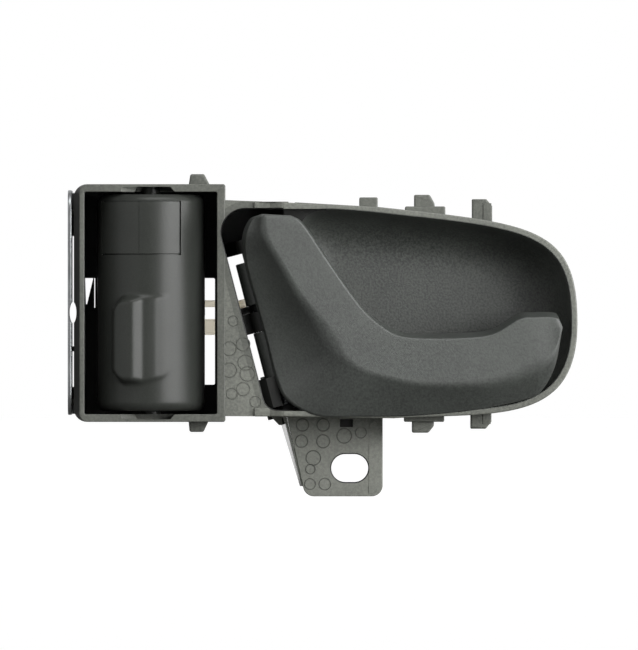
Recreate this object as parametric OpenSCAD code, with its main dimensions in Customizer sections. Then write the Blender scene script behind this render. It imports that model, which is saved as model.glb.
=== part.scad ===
// Inside door release handle with a lock knob, for a passenger car door.
// X runs right across the front, Y runs into the door, Z is up.
// The origin is the middle of the screw slot, on the rear face of the screw tab.

/* [Planes] */
// Front face of the web and of the lock box
web_y = -24; // [-28:0.5:-20]
// Front face of the dish rim
rim_y = -27; // [-31:0.5:-23]
// Inner face of the dish floor
floor_y = -3; // [-6:0.5:-2]
// Wall of the dish and of the hinge well
wall_t = 2; // [1.5:0.1:3]
// Thickness of the web plate
web_t = 3; // [2:0.1:4]

/* [Lock box] */
// Left side of the lock box
box_x0 = -75.9; // [-80:0.1:-72]
// Right side of the lock box
box_x1 = -34.3; // [-36:0.1:-33]
// Bottom of the lock box
box_z0 = 12.8; // [11:0.1:14]
// Top of the lock box
box_z1 = 78.2; // [77:0.1:80]
// Rear face of the lock box
box_back_y = 4; // [3:0.5:6]
// Thickness of the lock box floor
box_floor_t = 2; // [1.5:0.1:3]
// Left side of the aperture
well_x0 = -73; // [-74:0.1:-72]
// Right side of the aperture
well_x1 = -36.5; // [-37:0.1:-36]
// Bottom of the aperture
well_z0 = 14.9; // [14.4:0.1:15.5]
// Top of the aperture
well_z1 = 76.1; // [75.8:0.1:76.8]

/* [Lock knob] */
// Axis of the knob, across
lock_x = -54.7; // [-56:0.1:-53]
// Axis of the knob, in depth
lock_y = -13; // [-15:0.1:-11]
// Radius of the drum
drum_r = 14.8; // [13:0.1:16]
// Lower end of the drum
drum_z0 = 15.8; // [15.4:0.1:17]
// Upper end of the drum
drum_z1 = 75.4; // [74:0.1:75.7]
// Wall of the drum
drum_t = 2.2; // [1.8:0.1:3]
// Rounding of the drum's ends
drum_round = 2.4; // [1:0.1:4]
// Crest of the thumb ridge from the axis
ridge_r = 17.6; // [16:0.1:18]
// Angle of the crest, left of the front
ridge_angle = 18; // [10:1:25]
// Radius of the trunnions
trunnion_r = 2.5; // [2:0.1:3]

/* [Lever] */
// Plateau of the lever
lever_y = -34; // [-37:0.5:-31]
// Rear edge of the grip wall
grip_y = -25.5; // [-27:0.5:-24]
// Wall of the lever
lever_t = 2.4; // [1.8:0.1:3]
// Rounded rise of the plateau's inner edge
grip_round = 1.4; // [0.6:0.1:2]

/* [Hinge] */
// Middle of the hinge, across
hinge_x = -23.4; // [-25:0.1:-22]
// Axis of the hinge, in depth
hinge_y = -18; // [-20:0.1:-16]
// Middle of the hinge, up
hinge_z = 40.8; // [40:0.1:42]
// Lean of the hinge from upright
hinge_tilt = 14.5; // [10:0.1:18]
// Radius of the hinge pin
pin_r = 1.5; // [1.2:0.05:2]
// Radius of the lever knuckles
knuckle_r = 4; // [3.5:0.1:4.2]
// Outer radius of the bushes
bush_r = 2.5; // [2:0.05:3]
// Running clearance on the pin
pin_gap = 0.05; // [0.02:0.01:0.09]
// Latch crank arm from the pin to its clip
latch_arm = 28; // [26:0.5:30]
// Lean of the latch crank at rest
latch_lean = 14; // [10:1:16]

/* [Spring] */
// Radius of the spring wire
wire_r = 0.4; // [0.3:0.05:0.45]
// Mean radius of the coil
coil_r = 2.6; // [2.3:0.1:2.8]
// Climb of one turn
coil_pitch = 1.25; // [1.22:0.01:1.26]

/* [Screw tab] */
// Thickness of the tab
tab_t = 2.6; // [2:0.1:4]
// Length of the slot
slot_l = 10.2; // [8:0.1:12]
// Width of the slot
slot_w = 7.7; // [6:0.1:9]

/* [Rod clips] */
// Radius of the hole for a rod end
rod_hole_r = 2.05; // [1.5:0.05:2.5]
// Radius of the stem in the crank
stem_r = 3; // [2.5:0.1:3.5]

/* [Show] */
// Piece to draw

/* [Hidden] */
$fn = 48;
eps = 0.01;
plastic = [0.13, 0.135, 0.13];
steel = [0.72, 0.73, 0.72];
nylon = [0.86, 0.82, 0.7];
rubber = [0.06, 0.06, 0.06];

// Heights along the hinge, from its middle
knuckle_top = [4.8, 16.7];
knuckle_low = [-16, -2.8];
ear_top = [18.5, 23];
ear_mid = [-2.4, 2.4];
ear_low = [-27, -23.9];
crank_z = [2.8, 4.8];
spring_top = -16.9;
coil_turns = 4.5;

// Lock crank and the place of its clip
lock_crank_z = [42, 44];
lock_tip = [10.6, 21];
detent_x = -64.8;

// Points of a cubic curve, its last point left out
function bez(p, n) = [for (i = [0 : n - 1])
    let (t = i / n, u = 1 - t)
    u*u*u*p[0] + 3*t*u*u*p[1] + 3*t*t*u*p[2] + t*t*t*p[3]];

// Smooth curve through the rows of a list, at t counted in rows
function spline(rows, t) =
    let (n = len(rows) - 1,
         i = min(floor(t), n - 1),
         f = t - i,
         a = rows[max(i - 1, 0)],
         b = rows[i],
         c = rows[i + 1],
         d = rows[min(i + 2, n)])
    b + f*(c - a)/2 + f*f*(a - 2.5*b + 2*c - d/2) + f*f*f*(1.5*b - 1.5*c + (d - a)/2);

// Place on the front view of a point given along and across the hinge
function on_hinge(xi, zl) = [
    hinge_x + xi*cos(hinge_tilt) - zl*sin(hinge_tilt),
    hinge_z + xi*sin(hinge_tilt) + zl*cos(hinge_tilt)];

// Arc of a corner rounding
function arc(c, r, a0, a1, n) = [for (i = [0 : n])
    let (a = a0 + (a1 - a0)*i/n)
    [c.x + r*cos(a), c.y + r*sin(a)]];

// Rim of the dish, seen from the front
rim_top = [[8, 71.9], [50.9, 67.3], [62.6, 66.7], [62.6, 40]];
rim_low = [[62.6, 40], [62.6, 11.4], [40, 15.5], [12, 13.8]];
rim_left = [-18.5, 73.2];
rim_left_low = [-18.5, 14.3];
rim_outline = concat([rim_left], bez(rim_top, 28), bez(rim_low, 28), [rim_low[3], rim_left_low]);

// Mouth of the bowl inside the rim
bowl_corner_top = [[-12.5, 57], [-15, 66.5], [-13, 70.9], [-4, 70.7]];
bowl_top = [[8.5, 70.1], [49.7, 65.8], [60.9, 65.2], [60.9, 40.2]];
bowl_low = [[60.9, 40.2], [60.9, 13.3], [39.2, 17.1], [12.3, 15.5]];
bowl_corner_low = [[8, 15.5], [-1, 15.5], [-3.5, 20], [-5.5, 28]];
bowl_mouth = concat(bez(bowl_corner_top, 10), bez(bowl_top, 26), bez(bowl_low, 26),
                    bez(bowl_corner_low, 10), [[-5.5, 28]]);
bowl_mid = [15, 38];
bowl_floor_k = [0.63, 0.47];

// One level of a bowl that closes in from its mouth, t from 0 to 90
function bowl_ring(mouth, k, t, y0, depth) = [for (p = mouth)
    [bowl_mid.x + (p.x - bowl_mid.x)*(1 - (1 - k.x)*(1 - cos(t))),
     y0 + depth*sin(t),
     bowl_mid.y + (p.y - bowl_mid.y)*(1 - (1 - k.y)*(1 - cos(t)))]];

// Solid through rings with the same number of points; back to front rings are turned round.
// A channel's ends are closed in strips between its outside and its inside.
module loft(rings, turned = false, channel = false) {
    n = len(rings[0]);
    m = len(rings);
    k = (m - 1)*n;
    row = turned ? [for (j = [0 : m - 1]) rings[m - 1 - j]] : rings;
    skin = [for (j = [0 : m - 2], i = [0 : n - 1], h = [0, 1])
        let (a = j*n + i, b = j*n + (i + 1) % n)
        h == 0 ? [a, b, a + n] : [b, b + n, a + n]];
    whole = [[for (i = [0 : n - 1]) n - 1 - i], [for (i = [0 : n - 1]) k + i]];
    strips = [for (i = [0 : n/2 - 2], h = [0 : 3])
        let (a = i, b = i + 1, c = n - 2 - i, d = n - 1 - i)
        [[d, b, a], [d, c, b], [k + a, k + b, k + d], [k + b, k + c, k + d]][h]];
    polyhedron(points = [for (r = row, p = r) p], faces = concat(skin, channel ? strips : whole), convexity = 8);
}

// Front view shape pushed from y0 to y1
module front(y0, y1) {
    translate([0, y1, 0])
        rotate([90, 0, 0])
            linear_extrude(y1 - y0)
                children();
}

// Box between two corners
module block(a, b) {
    translate(a)
        cube(b - a);
}

// Place of the hinge, with Z along the pin
module at_hinge() {
    translate([hinge_x, hinge_y, hinge_z])
        rotate([0, -hinge_tilt, 0])
            children();
}

// Place of the lock knob
module at_lock() {
    translate([lock_x, lock_y, 0])
        children();
}

// Round bar between two heights
module bar(r, z) {
    translate([0, 0, z[0]])
        cylinder(r = r, h = z[1] - z[0]);
}

// Shape seen along an axis, between two heights
module plate(z) {
    translate([0, 0, z[0]])
        linear_extrude(z[1] - z[0])
            children();
}

// Round bar along Y
module bolt(x, z, r, y0, y1) {
    translate([x, y1, z])
        rotate([90, 0, 0])
            cylinder(r = r, h = y1 - y0);
}

// Outline of the hinge well, grown by g
module well_shape(g) {
    left_low = -5.7 - g;
    right = 12.5 + g;
    top = 71.4 + g;
    low = 16.1 - g;
    z_mid = hinge_z;
    r = 6.5 + g;
    // Place on a leaning side at a height
    function side(xi, z) = let (zl = (z - hinge_z - xi*sin(hinge_tilt))/cos(hinge_tilt)) on_hinge(xi, zl);
    c_top = side(left_low + r, top - r);
    c_low = side(left_low + 4, low + 4);
    polygon(concat(arc(c_top, r, 180 + hinge_tilt, 90, 10),
                   [side(right, top), side(right, low)],
                   arc(c_low, 4, 270, 180 + hinge_tilt, 8)));
}

// Lock box with its aperture, windows and trunnion bores
module lock_box_solid() {
    r = 3.6;
    front(web_y, box_back_y)
        polygon(concat([[box_x1, box_z0], [box_x1, box_z1]],
                       arc([box_x0 + r, box_z1 - r], r, 90, 180, 8),
                       arc([box_x0 + r, box_z0 + r], r, 180, 270, 8)));
}

module lock_box_cuts() {
    floor_in = box_back_y - box_floor_t;
    block([well_x0, web_y - 1, well_z0], [well_x1, floor_in, well_z1]);
    // Window behind the knob and the two slits at its left
    block([-67, floor_in - 1, 23], [-37.2, box_back_y + 1, 52.4]);
    front(floor_in - 1, box_back_y + 1)
        polygon([[-72.9, 52.4], [-70.8, 52.4], [-72.6, 45.2], [-72.9, 45.2]]);
    block([-70.4, floor_in - 1, 40.8], [-69.5, box_back_y + 1, 52.4]);
    at_lock()
        bar(trunnion_r + pin_gap, [box_z0 - 1, box_z1 + 1]);
    // Lead-in ramps that the trunnions snap past
    for (s = [0, 1])
        translate([lock_x - 3.4, 0, s*(well_z0 + well_z1)])
            mirror([0, 0, s])
                rotate([90, 0, 90])
                    linear_extrude(8.8)
                        polygon([[web_y - 1, well_z1 - 0.5], [web_y - 1, well_z1 + 1.5],
                                 [lock_y - 3, well_z1 + 0.4], [lock_y - 3, well_z1 - 0.5]]);
}

// Snap hooks round the edge
module snap_hooks() {
    front(-16, -9)
        polygon([[-44.5, 78], [-43.8, 81], [-40.2, 81], [-38.4, 78]]);
    front(-16, -9)
        polygon([[-44.5, 13], [-38.7, 13], [-40.4, 10], [-44, 10]]);
    block([2.6, -18, 64], [7.7, -11, 74.6]);
    block([15.2, -20, 62], [26.3, -7, 72.1]);
    front(-18, -10)
        polygon([[17.7, 70], [17.7, 75.3], [22, 75.3], [23.4, 73.2], [23.4, 70]]);
    front(-18, -10)
        polygon([[33.6, 58], [33.6, 74.1], [37.6, 74.1], [39.2, 72.2], [39.2, 58]]);
    block([14.9, -20, 12.8], [26, -7, 21]);
    front(-18, -10)
        polygon([[17.1, 14], [23.1, 14], [23.1, 11.6], [21.6, 9.8], [17.1, 9.8]]);
    front(-18, -10)
        polygon([[33.2, 22], [39, 22], [39, 12.8], [37.4, 10.9], [33.2, 10.9]]);
}

// Screw tab with its gusset
module screw_tab() {
    front(-tab_t, 0)
        polygon(concat([[-17.3, 30], [-17.3, 13.9]],
                       arc([-9.9, -4.8], 3, 193, 270, 6),
                       arc([6.1, -4.8], 3, 270, 360, 6),
                       [[9.1, 30]]));
    hull() {
        block([-19.8, -20, 14], [-18.4, -1, 15]);
        block([-13.6, -3.4, -5], [-13.1, -1, -4.6]);
    }
    block([-19.8, -21, 14.2], [-17, -1, 16.2]);
}

// Dish, well and web before they are hollowed
module dish_solid() {
    front(rim_y, web_y + web_t)
        polygon(rim_outline);
    front(web_y, web_y + web_t)
        polygon([[-36, 73.9], rim_left, rim_left_low, [-36, 14.4]]);
    // Ledges that climb from the web to the rim
    for (z = [[70.8, 73.3], [14.3, 16.6]])
        plate(z)
            polygon([[-26.2, web_y - 0.8], [-22, web_y - 1], [rim_left.x, rim_y],
                     [rim_left.x, web_y + web_t], [-26.2, web_y + web_t]]);
    front(web_y, floor_y + wall_t)
        well_shape(wall_t);
    k = [bowl_floor_k.x + 0.05, bowl_floor_k.y + 0.06];
    loft([for (t = [0, 15, 30, 44, 57, 68, 78, 90])
        bowl_ring(rim_outline_closed, k, t, web_y, floor_y + wall_t - web_y)], true);
}

// Rim outline that closes behind the bowl's left side
rim_outline_closed = concat([[-14.9, 57], [-17.4, 66.5], [-15, 72.9]], bez(rim_top, 20), bez(rim_low, 20),
                            [rim_low[3], [1, 13.9], [-5, 17.5], [-7.9, 28]]);

// Hollow of the well and of the bowl, with the hinge window
module dish_cuts() {
    front(rim_y - 2, floor_y)
        well_shape(0);
    loft(concat([[for (p = bowl_mouth) [p.x, rim_y - 2, p.y]]],
                [for (t = [0, 12, 24, 35, 45, 55, 64, 72, 80, 90])
                    bowl_ring(bowl_mouth, bowl_floor_k, t, rim_y, floor_y - rim_y)]), true);
    // Room above the wall between well and bowl
    front(rim_y - 2, hinge_y - 2)
        polygon([on_hinge(9, 28.5), on_hinge(9, -26), on_hinge(24, -29.5), on_hinge(24, 24)]);
    // Window behind the hinge
    front(web_y + web_t, floor_y + wall_t + 1)
        polygon([on_hinge(-5.7, 18.5), on_hinge(12.5, 18.5), on_hinge(12.5, -16.2),
                 on_hinge(-7.7, -16.2), on_hinge(-7.7, 10)]);
}

// Ears of the hinge, spring guard and spring post
module hinge_ears() {
    at_hinge() {
        for (z = [ear_top, ear_low]) {
            bar(3.2, z);
            block([-6, 1, z[0]], [6, 16, z[1]]);
            block([-3.2, 0, z[0]], [3.2, 2, z[1]]);
        }
        bar(knuckle_r, ear_mid);
        block([-8.5, -1, ear_mid[0]], [0, 4, ear_mid[1]]);
        block([-8.5, -4, ear_mid[0]], [-6.2, 4, ear_mid[1]]);
        // Guard in front of the spring, set back where the lever swings past
        plate([ear_low[1] - eps, -17.8])
            polygon([[-0.4, -4.6], [-0.4, -3.5], [-3.3, -3.5], [-6, -1.6], [-6, -2.6], [-3.7, -4.6]]);
        // Post that takes the fixed leg of the spring
        translate([coil_r + wire_r + 1.25, 7.5, 0])
            bar(1.2, [ear_low[1] - 1, -21.6]);
    }
    // Seats of the bumpers on the wall between well and bowl
    for (zl = [-10, 10])
        bolt(on_hinge(14, zl).x, on_hinge(14, zl).y, 2.6, hinge_y - 2, -9);
}

// Housing moulding
module housing() {
    color(plastic)
        difference() {
            union() {
                difference() {
                    union() {
                        lock_box_solid();
                        dish_solid();
                        screw_tab();
                        snap_hooks();
                        // Crush ribs towards the bracket
                        for (z = [69.5, 32.2, 17.5])
                            block([box_x0 - 0.6, -18, z], [box_x0 + 1, 0, z + 1.4]);
                        bolt(detent_x, 58.5, 3, 3, 9);
                    }
                    lock_box_cuts();
                    dish_cuts();
                }
                hinge_ears();
            }
            // Slot of the fixing screw
            front(-tab_t - 1, 1)
                union() {
                    square([slot_l - slot_w, slot_w], center = true);
                    for (s = [-1, 1])
                        translate([s*(slot_l - slot_w)/2, 0])
                            circle(d = slot_w);
                }
            block([-2.7, -tab_t - 1, 11.4], [0.9, -tab_t + 1, 13.4]);
            at_hinge()
                bar(pin_r, [-29, 22]);
            for (zl = [-10, 10])
                bolt(on_hinge(14, zl).x, on_hinge(14, zl).y, 1.2, hinge_y - 3, -15);
            // Clear hole where the bracket's edge is pierced
            front(-30, 10)
                polygon([[-77, 40.4], [-75.2, 41.4], [-75.2, 44.6], [-77, 45.6]]);
            for (z = [19, 70])
                bolt(-66.5, z, 1.6, 0, 10);
            bolt(detent_x, 58.5, 1.25, 0, 8);
        }
}

// Zinc plate bracket
module mounting_bracket() {
    side_x = -77.6;
    t = 1.1;
    color(steel)
        difference() {
            union() {
                difference() {
                    block([side_x, -22, 14.7], [side_x + t, box_back_y + t, 76.6]);
                    front(-30, 10)
                        polygon([[-77.2, 40.4], [-76.4, 40.4], [-76.4, 45.6], [-77.2, 45.6]]);
                }
                for (z = [[64, 76], [14.7, 22.4]])
                    block([side_x, box_back_y, z[0]], [-61.5, box_back_y + t, z[1]]);
            }
            for (z = [19, 70])
                bolt(-66.5, z, 1.6, 0, 10);
        }
}

module bracket_rivets() {
    color(steel)
        for (z = [19, 70]) {
            bolt(-66.5, z, 1.6, box_back_y - box_floor_t - 0.4, box_back_y + 1.5);
            bolt(-66.5, z, 2.8, box_back_y - box_floor_t - 0.9, box_back_y - box_floor_t);
            bolt(-66.5, z, 2.8, box_back_y + 1.1, box_back_y + 2);
        }
}

module hinge_pin() {
    color(steel)
        at_hinge()
            bar(pin_r, [-27.2, 22]);
}

module pin_retainer() {
    color(steel)
        at_hinge()
            plate([ear_low[1], ear_low[1] + 0.6])
                difference() {
                    circle(r = 3);
                    circle(r = pin_r);
                }
}

// Centre line of the return spring: moving leg, coil, fixed leg
leg_l = 8;
spring_path = concat(
    [[-coil_r, leg_l, spring_top]],
    [for (i = [0 : 8*coil_turns])
        let (a = 180 + 45*i)
        [coil_r*cos(a), coil_r*sin(a), spring_top - coil_pitch*i/8]],
    [[coil_r, leg_l + 1.5, spring_top - coil_pitch*coil_turns]]);
coil_gap = coil_pitch*cos(atan(coil_pitch/(2*PI*coil_r))) - 2*wire_r;
echo(spring_least_gap_mm = coil_gap);

// Tube along a path, six sides
function tube_ring(path, i, r) =
    let (n = len(path) - 1,
         d0 = path[min(i + 1, n)] - path[max(i - 1, 0)],
         d = d0/norm(d0),
         u0 = cross(d, [0, 0, 1]),
         u = u0/norm(u0),
         v = cross(u, d))
    [for (k = [0 : 5]) path[i] + r*(u*cos(60*k) + v*sin(60*k))];

module return_spring() {
    color(steel)
        at_hinge()
            loft([for (i = [0 : len(spring_path) - 1]) tube_ring(spring_path, i, wire_r)]);
}

module lever_bumpers() {
    color(rubber)
        for (zl = [-10, 10]) {
            bolt(on_hinge(14, zl).x, on_hinge(14, zl).y, 1.2, hinge_y - 3, hinge_y + 2);
            bolt(on_hinge(14, zl).x, on_hinge(14, zl).y, 2.2, hinge_y - 5.8, hinge_y - 2);
        }
}

// Stations of the lever from its top to its right end:
// outer edge x, z, inner edge x, z, share taken by the flank, depth of the outer edge, plateau, paddle share
lever_rows = [
    [-24.1, 69.9, -16.2, 69.5, 0.40, -25.0, -30.5, 0],
    [-26.5, 68.4, -13.8, 68.2, 0.36, -23.5, -33.2, 0],
    [-28.4, 63.9, -11.2, 65.0, 0.33, -22.0, -34.0, 0],
    [-28.8, 56.8, -6.5, 57.9, 0.35, -21.8, -34.0, 0],
    [-26.2, 46.3, -1.0, 49.9, 0.43, -21.8, -34.0, 0],
    [-23.2, 35.3, 3.6, 43.9, 0.53, -22.0, -34.0, 0],
    [-20.4, 24.9, 6.9, 40.7, 0.56, -23.5, -34.0, 0.3],
    [-16.9, 18.6, 8.9, 39.2, 0.58, -26.5, -34.0, 0.7],
    [-8.7, 14.7, 11.1, 37.7, 0.56, -28.0, -34.0, 1],
    [2.8, 14.4, 14.4, 36.4, 0.50, -28.0, -34.0, 1],
    [16.6, 14.6, 20.7, 35.9, 0.41, -28.0, -34.0, 1],
    [30.3, 15.7, 30.3, 36.0, 0.35, -28.0, -34.0, 1],
    [40.2, 17.2, 39.1, 37.0, 0.31, -28.0, -34.0, 1],
    [49.6, 19.5, 46.5, 41.2, 0.26, -28.0, -34.0, 1],
    [53.0, 21.8, 50.9, 41.7, 0.22, -28.0, -33.8, 1],
    [56.4, 28.2, 54.5, 41.8, 0.20, -28.0, -33.2, 1],
    [58.4, 38.6, 57.3, 41.3, 0.30, -28.0, -31.5, 1]];

// Rise of the flank at a share of its width, round by the hinge and flatter on the paddle
function flank_rise(f, paddle) = (1 - paddle)*sin(90*pow(f, 0.72)) + paddle*sin(90*pow(f, 0.95));

// Section of the lever at a station: outside from the outer edge to the grip, then back inside
flank_at = [0, 0.07, 0.16, 0.3, 0.5, 0.75, 1];
function lever_ring(row) =
    let (o = [row[0], row[1]],
         span = [row[2], row[3]] - o,
         l = norm(span),
         c = row[4]*l,
         ye = row[5],
         yp = row[6] + lever_y + 34,
         rise = yp - ye,
         g = min(grip_round, 0.2*l),
         t = min(lever_t, 0.28*l),
         yb = max(grip_y, yp + 3.5),
         flank = [for (f = flank_at) [f*c, ye + rise*flank_rise(f, row[7])]],
         outside = concat(flank, [
             [(c + l)/2, yp + 0.2],
             [l - g, yp + 0.4],
             [l - 0.3*g, yp + 0.4 + 0.3*g],
             [l, yp + 0.4 + g],
             [l, yb]]),
         inside = concat(
             [for (i = [0 : 6]) flank[i] + t*[cos(90*pow(flank_at[i], 0.6)), sin(90*pow(flank_at[i], 0.6))]],
             [[min((c + l)/2, l - t - 0.3*g - 0.1*(l - c)), yp + 0.2 + t],
              [l - t - 0.3*g, yp + 0.4 + t],
              [l - t - 0.1*g, yp + 0.4 + t + 0.1*g],
              [l - t, yp + 0.4 + t + 0.3*g],
              [l - t, yb]]),
         n = len(outside))
    [for (p = concat(outside, [for (i = [1 : n]) inside[n - i]])) [o.x + span.x*p.x/l, p.y, o.y + span.y*p.x/l]];

module lever_shell() {
    n = len(lever_rows) - 1;
    loft([for (i = [0 : 2*n]) lever_ring(spline(lever_rows, i/2))], channel = true);
}

module lever() {
    color(plastic)
        difference() {
            union() {
                difference() {
                    lever_shell();
                    // Clearance round the ears and the spring
                    at_hinge() {
                        bar(4.5, [16.9, 30]);
                        bar(4.5, [-2.7, 2.6]);
                        bar(4.5, [-40, -16.2]);
                    }
                }
                at_hinge() {
                    bar(knuckle_r, knuckle_top);
                    bar(knuckle_r, knuckle_low);
                    // Ribs from the knuckles to the grip wall
                    plate([4.8, 7.3])
                        polygon([[-0.6, -3.6], [1.4, -9], [5, -13.5], [11, -14.4], [11, -9], [5, -1], [3, 2]]);
                    plate([9, 11])
                        polygon([[-0.6, -3.6], [1.4, -9], [5, -13.5], [18, -14.4], [18, -6], [6, -6], [3, 2]]);
                    plate([-11, -9])
                        polygon([[-0.6, -3.6], [1.4, -9], [5, -12], [18, -14.2], [18, -6], [6, -6], [3, 2]]);
                    // Lug that carries the moving leg of the spring
                    block([-5.2, -0.5, -18.2], [-coil_r - wire_r - 0.05, 7, -15]);
                }
                // Ribs across the hollow of the grip
                for (x = [20, 34])
                    rotate([90, 0, 90])
                        translate([0, 0, x])
                            linear_extrude(1.4)
                                polygon([[-32.4, 23.5], [-32.4, 34.8], [-26, 34.8], [-28.2, 18.5], [-29.4, 18.2]]);
            }
            at_hinge() {
                bar(bush_r, [-20, 20]);
                for (p = [[5, -5.6], [8.6, -10.6]])
                    translate(p)
                        bar(1.25, [0, 8]);
            }
        }
}

module hinge_bushes() {
    color(nylon)
        at_hinge()
            for (z = [knuckle_top, knuckle_low])
                plate(z)
                    difference() {
                        circle(r = bush_r);
                        circle(r = pin_r + pin_gap);
                    }
}

// Flat crank: eye, arm to the tip, tip with its hole
module crank_arm(tip, eye_r, arm_w, tip_r) {
    l = norm(tip);
    u = tip/l;
    n = [-u.y, u.x];
    circle(r = eye_r);
    translate(tip)
        circle(r = tip_r);
    polygon([n*eye_r*0.9, -n*eye_r*0.9, u*8 - n*arm_w, tip - n*arm_w, tip + n*arm_w, u*8 + n*arm_w]);
}

latch_tip = [-latch_arm*sin(latch_lean), latch_arm*cos(latch_lean)];

module latch_crank() {
    color(steel)
        at_hinge()
            plate(crank_z)
                difference() {
                    union() {
                        crank_arm(latch_tip, knuckle_r - 0.6, 2.6, 4.8);
                        polygon([[1.6, -3], [2.4, -6], [3.3, -7.6], [4.7, -9.5], [6.3, -11.2], [8.4, -12.6],
                                 [11, -12.8], [10.8, -8], [4, 0], [0, 3]]);
                    }
                    circle(r = pin_r + pin_gap);
                    translate(latch_tip)
                        circle(r = stem_r + pin_gap);
                    for (p = [[5, -5.6], [8.6, -10.6]])
                        translate(p)
                            circle(r = 1.25);
                }
}

module latch_crank_rivets() {
    color(steel)
        at_hinge()
            for (p = [[5, -5.6], [8.6, -10.6]])
                translate(p) {
                    bar(1.25, [crank_z[0], 7.3]);
                    bar(2.1, [crank_z[0] - 0.8, crank_z[0]]);
                    bar(2.1, [7.3, 8.1]);
                }
}

// Nylon rod clip on a crank plate two millimetres thick, plate from 0 to 2
module rod_clip() {
    difference() {
        union() {
            bar(stem_r, [-2, 4]);
            bar(3.9, [-0.9, -0.1]);
            bar(3.9, [2.1, 2.5]);
            for (z = [[-5.3, -0.9], [2.4, 4.3]])
                plate(z) {
                    circle(r = 3.6);
                    translate([0, -3.3])
                        square([7.2, 6.6]);
                }
        }
        bar(rod_hole_r, [-6, 5]);
    }
}

module latch_rod_clip() {
    color(nylon)
        at_hinge()
            translate([latch_tip.x, latch_tip.y, crank_z[0]])
                rod_clip();
}

// Round section of the drum with both ends closed
module drum_section(t, cap) {
    h = drum_z1 - drum_z0;
    polygon(concat([[0, 0]],
                   arc([drum_r - drum_round, drum_round], drum_round, 270, 360, 6),
                   arc([drum_r - drum_round, h - drum_round], drum_round, 0, 90, 6),
                   [[0, h], [0, h - cap], [drum_r - t, h - cap], [drum_r - t, cap], [0, cap]]));
}

// Part of a turn about the knob's axis, from the left rear round the front to the right
module drum_turn(a0, a1) {
    rotate([0, 0, a0 - 90])
        rotate_extrude(angle = a1 - a0, $fn = 96)
            children();
}

module lock_knob() {
    inlay = [58.7, 73.6];
    color(plastic)
        at_lock()
            difference() {
                union() {
                    translate([0, 0, drum_z0])
                        drum_turn(-130, 95)
                            drum_section(drum_t, 2);
                    // Ribs that carry the crank and the detent
                    for (z = [[44, 46.5], [57, 61]]) {
                        translate([0, 0, z[0]])
                            drum_turn(-130, 95)
                                square([drum_r - 1, z[1] - z[0]]);
                        bar(8, z);
                    }
                    for (z = [[drum_z0, drum_z0 + 2], [drum_z1 - 2, drum_z1]])
                        bar(5, z);
                    bar(trunnion_r, [box_z0 + 0.2, drum_z0 + 1]);
                    bar(trunnion_r, [drum_z1 - 1, box_z1 - 0.2]);
                    // Thumb ridge
                    hull() {
                        for (a = [-44, 26])
                            rotate([0, 0, a - 90])
                                translate([drum_r - 0.4, 0, a < 0 ? 24.5 : 28.5])
                                    cylinder(r = 0.5, h = a < 0 ? 22.2 : 17, $fn = 16);
                        rotate([0, 0, -ridge_angle - 90])
                            translate([ridge_r - 1.1, 0, 26])
                                cylinder(r = 1.1, h = 18.5, $fn = 24);
                        rotate([0, 0, -ridge_angle - 90])
                            translate([drum_r - 0.4, 0, 23.4])
                                cylinder(r = 0.5, h = 24.2, $fn = 16);
                    }
                }
                // Recess of the indicator
                translate([0, 0, inlay[0]])
                    drum_turn(-66, 34)
                        translate([drum_r - 0.9, 0])
                            square([2, inlay[1] - inlay[0]]);
                // Notches of the detent, one for each position
                for (a = [0, -36])
                    rotate([0, 0, a])
                        translate([0, 8.4])
                            bar(1.7, [56, 62]);
                for (x = [-3.5, 3.5])
                    translate([x, -4.5])
                        bar(1.25, [40, 50]);
            }
}

module lock_indicator() {
    color([0.16, 0.16, 0.16])
        at_lock()
            translate([0, 0, 59])
                drum_turn(-65, 33)
                    translate([drum_r - 0.9, 0])
                        square([0.8, 14.3]);
}

module lock_crank() {
    color(steel)
        at_lock()
            plate(lock_crank_z)
                difference() {
                    union() {
                        circle(r = 8);
                        crank_arm(lock_tip, 6, 3, 4.2);
                    }
                    translate(lock_tip)
                        circle(r = stem_r + pin_gap);
                    for (x = [-3.5, 3.5])
                        translate([x, -4.5])
                            circle(r = 1.25);
                }
}

module lock_crank_screws() {
    color(steel)
        at_lock()
            for (x = [-3.5, 3.5])
                translate([x, -4.5]) {
                    bar(1.25, [lock_crank_z[0], 47.5]);
                    bar(2.3, [lock_crank_z[0] - 1.4, lock_crank_z[0]]);
                }
}

module lock_rod_clip() {
    color(nylon)
        at_lock()
            translate([lock_tip.x, lock_tip.y, lock_crank_z[0]])
                rod_clip();
}

// Leaf spring: pad on the box floor, arm, bead in the notch
module lock_detent_spring() {
    y_floor = box_back_y - box_floor_t - lock_y;
    color(steel)
        at_lock()
            difference() {
                plate([56.5, 60.5])
                    difference() {
                        union() {
                            polygon([[-13.5, y_floor - 0.5], [-7.4, y_floor - 0.5], [-1.2, 8.6], [-1.2, 9.6],
                                     [-7.1, y_floor], [-13.5, y_floor]]);
                            translate([0, 8.4])
                                circle(r = 1.4);
                            polygon([[0.4, 8.2], [3.4, 10.4], [3.1, 10.9], [0.2, 9.4]]);
                        }
                        translate([0, 8.4])
                            circle(r = 0.9);
                    }
                bolt(detent_x - lock_x, 58.5, 1.25, 0, 20);
            }
}

module detent_screw() {
    y_pad = box_back_y - box_floor_t - 0.5;
    color(steel) {
        bolt(detent_x, 58.5, 1.25, y_pad, 8);
        bolt(detent_x, 58.5, 1.9, y_pad - 1.3, y_pad);
    }
}

housing();
mounting_bracket();
bracket_rivets();
hinge_pin();
pin_retainer();
return_spring();
lever_bumpers();
lock_detent_spring();
detent_screw();
lever();
hinge_bushes();
latch_crank();
latch_crank_rivets();
latch_rod_clip();
lock_knob();
lock_indicator();
lock_crank();
lock_crank_screws();
lock_rod_clip();
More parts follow.
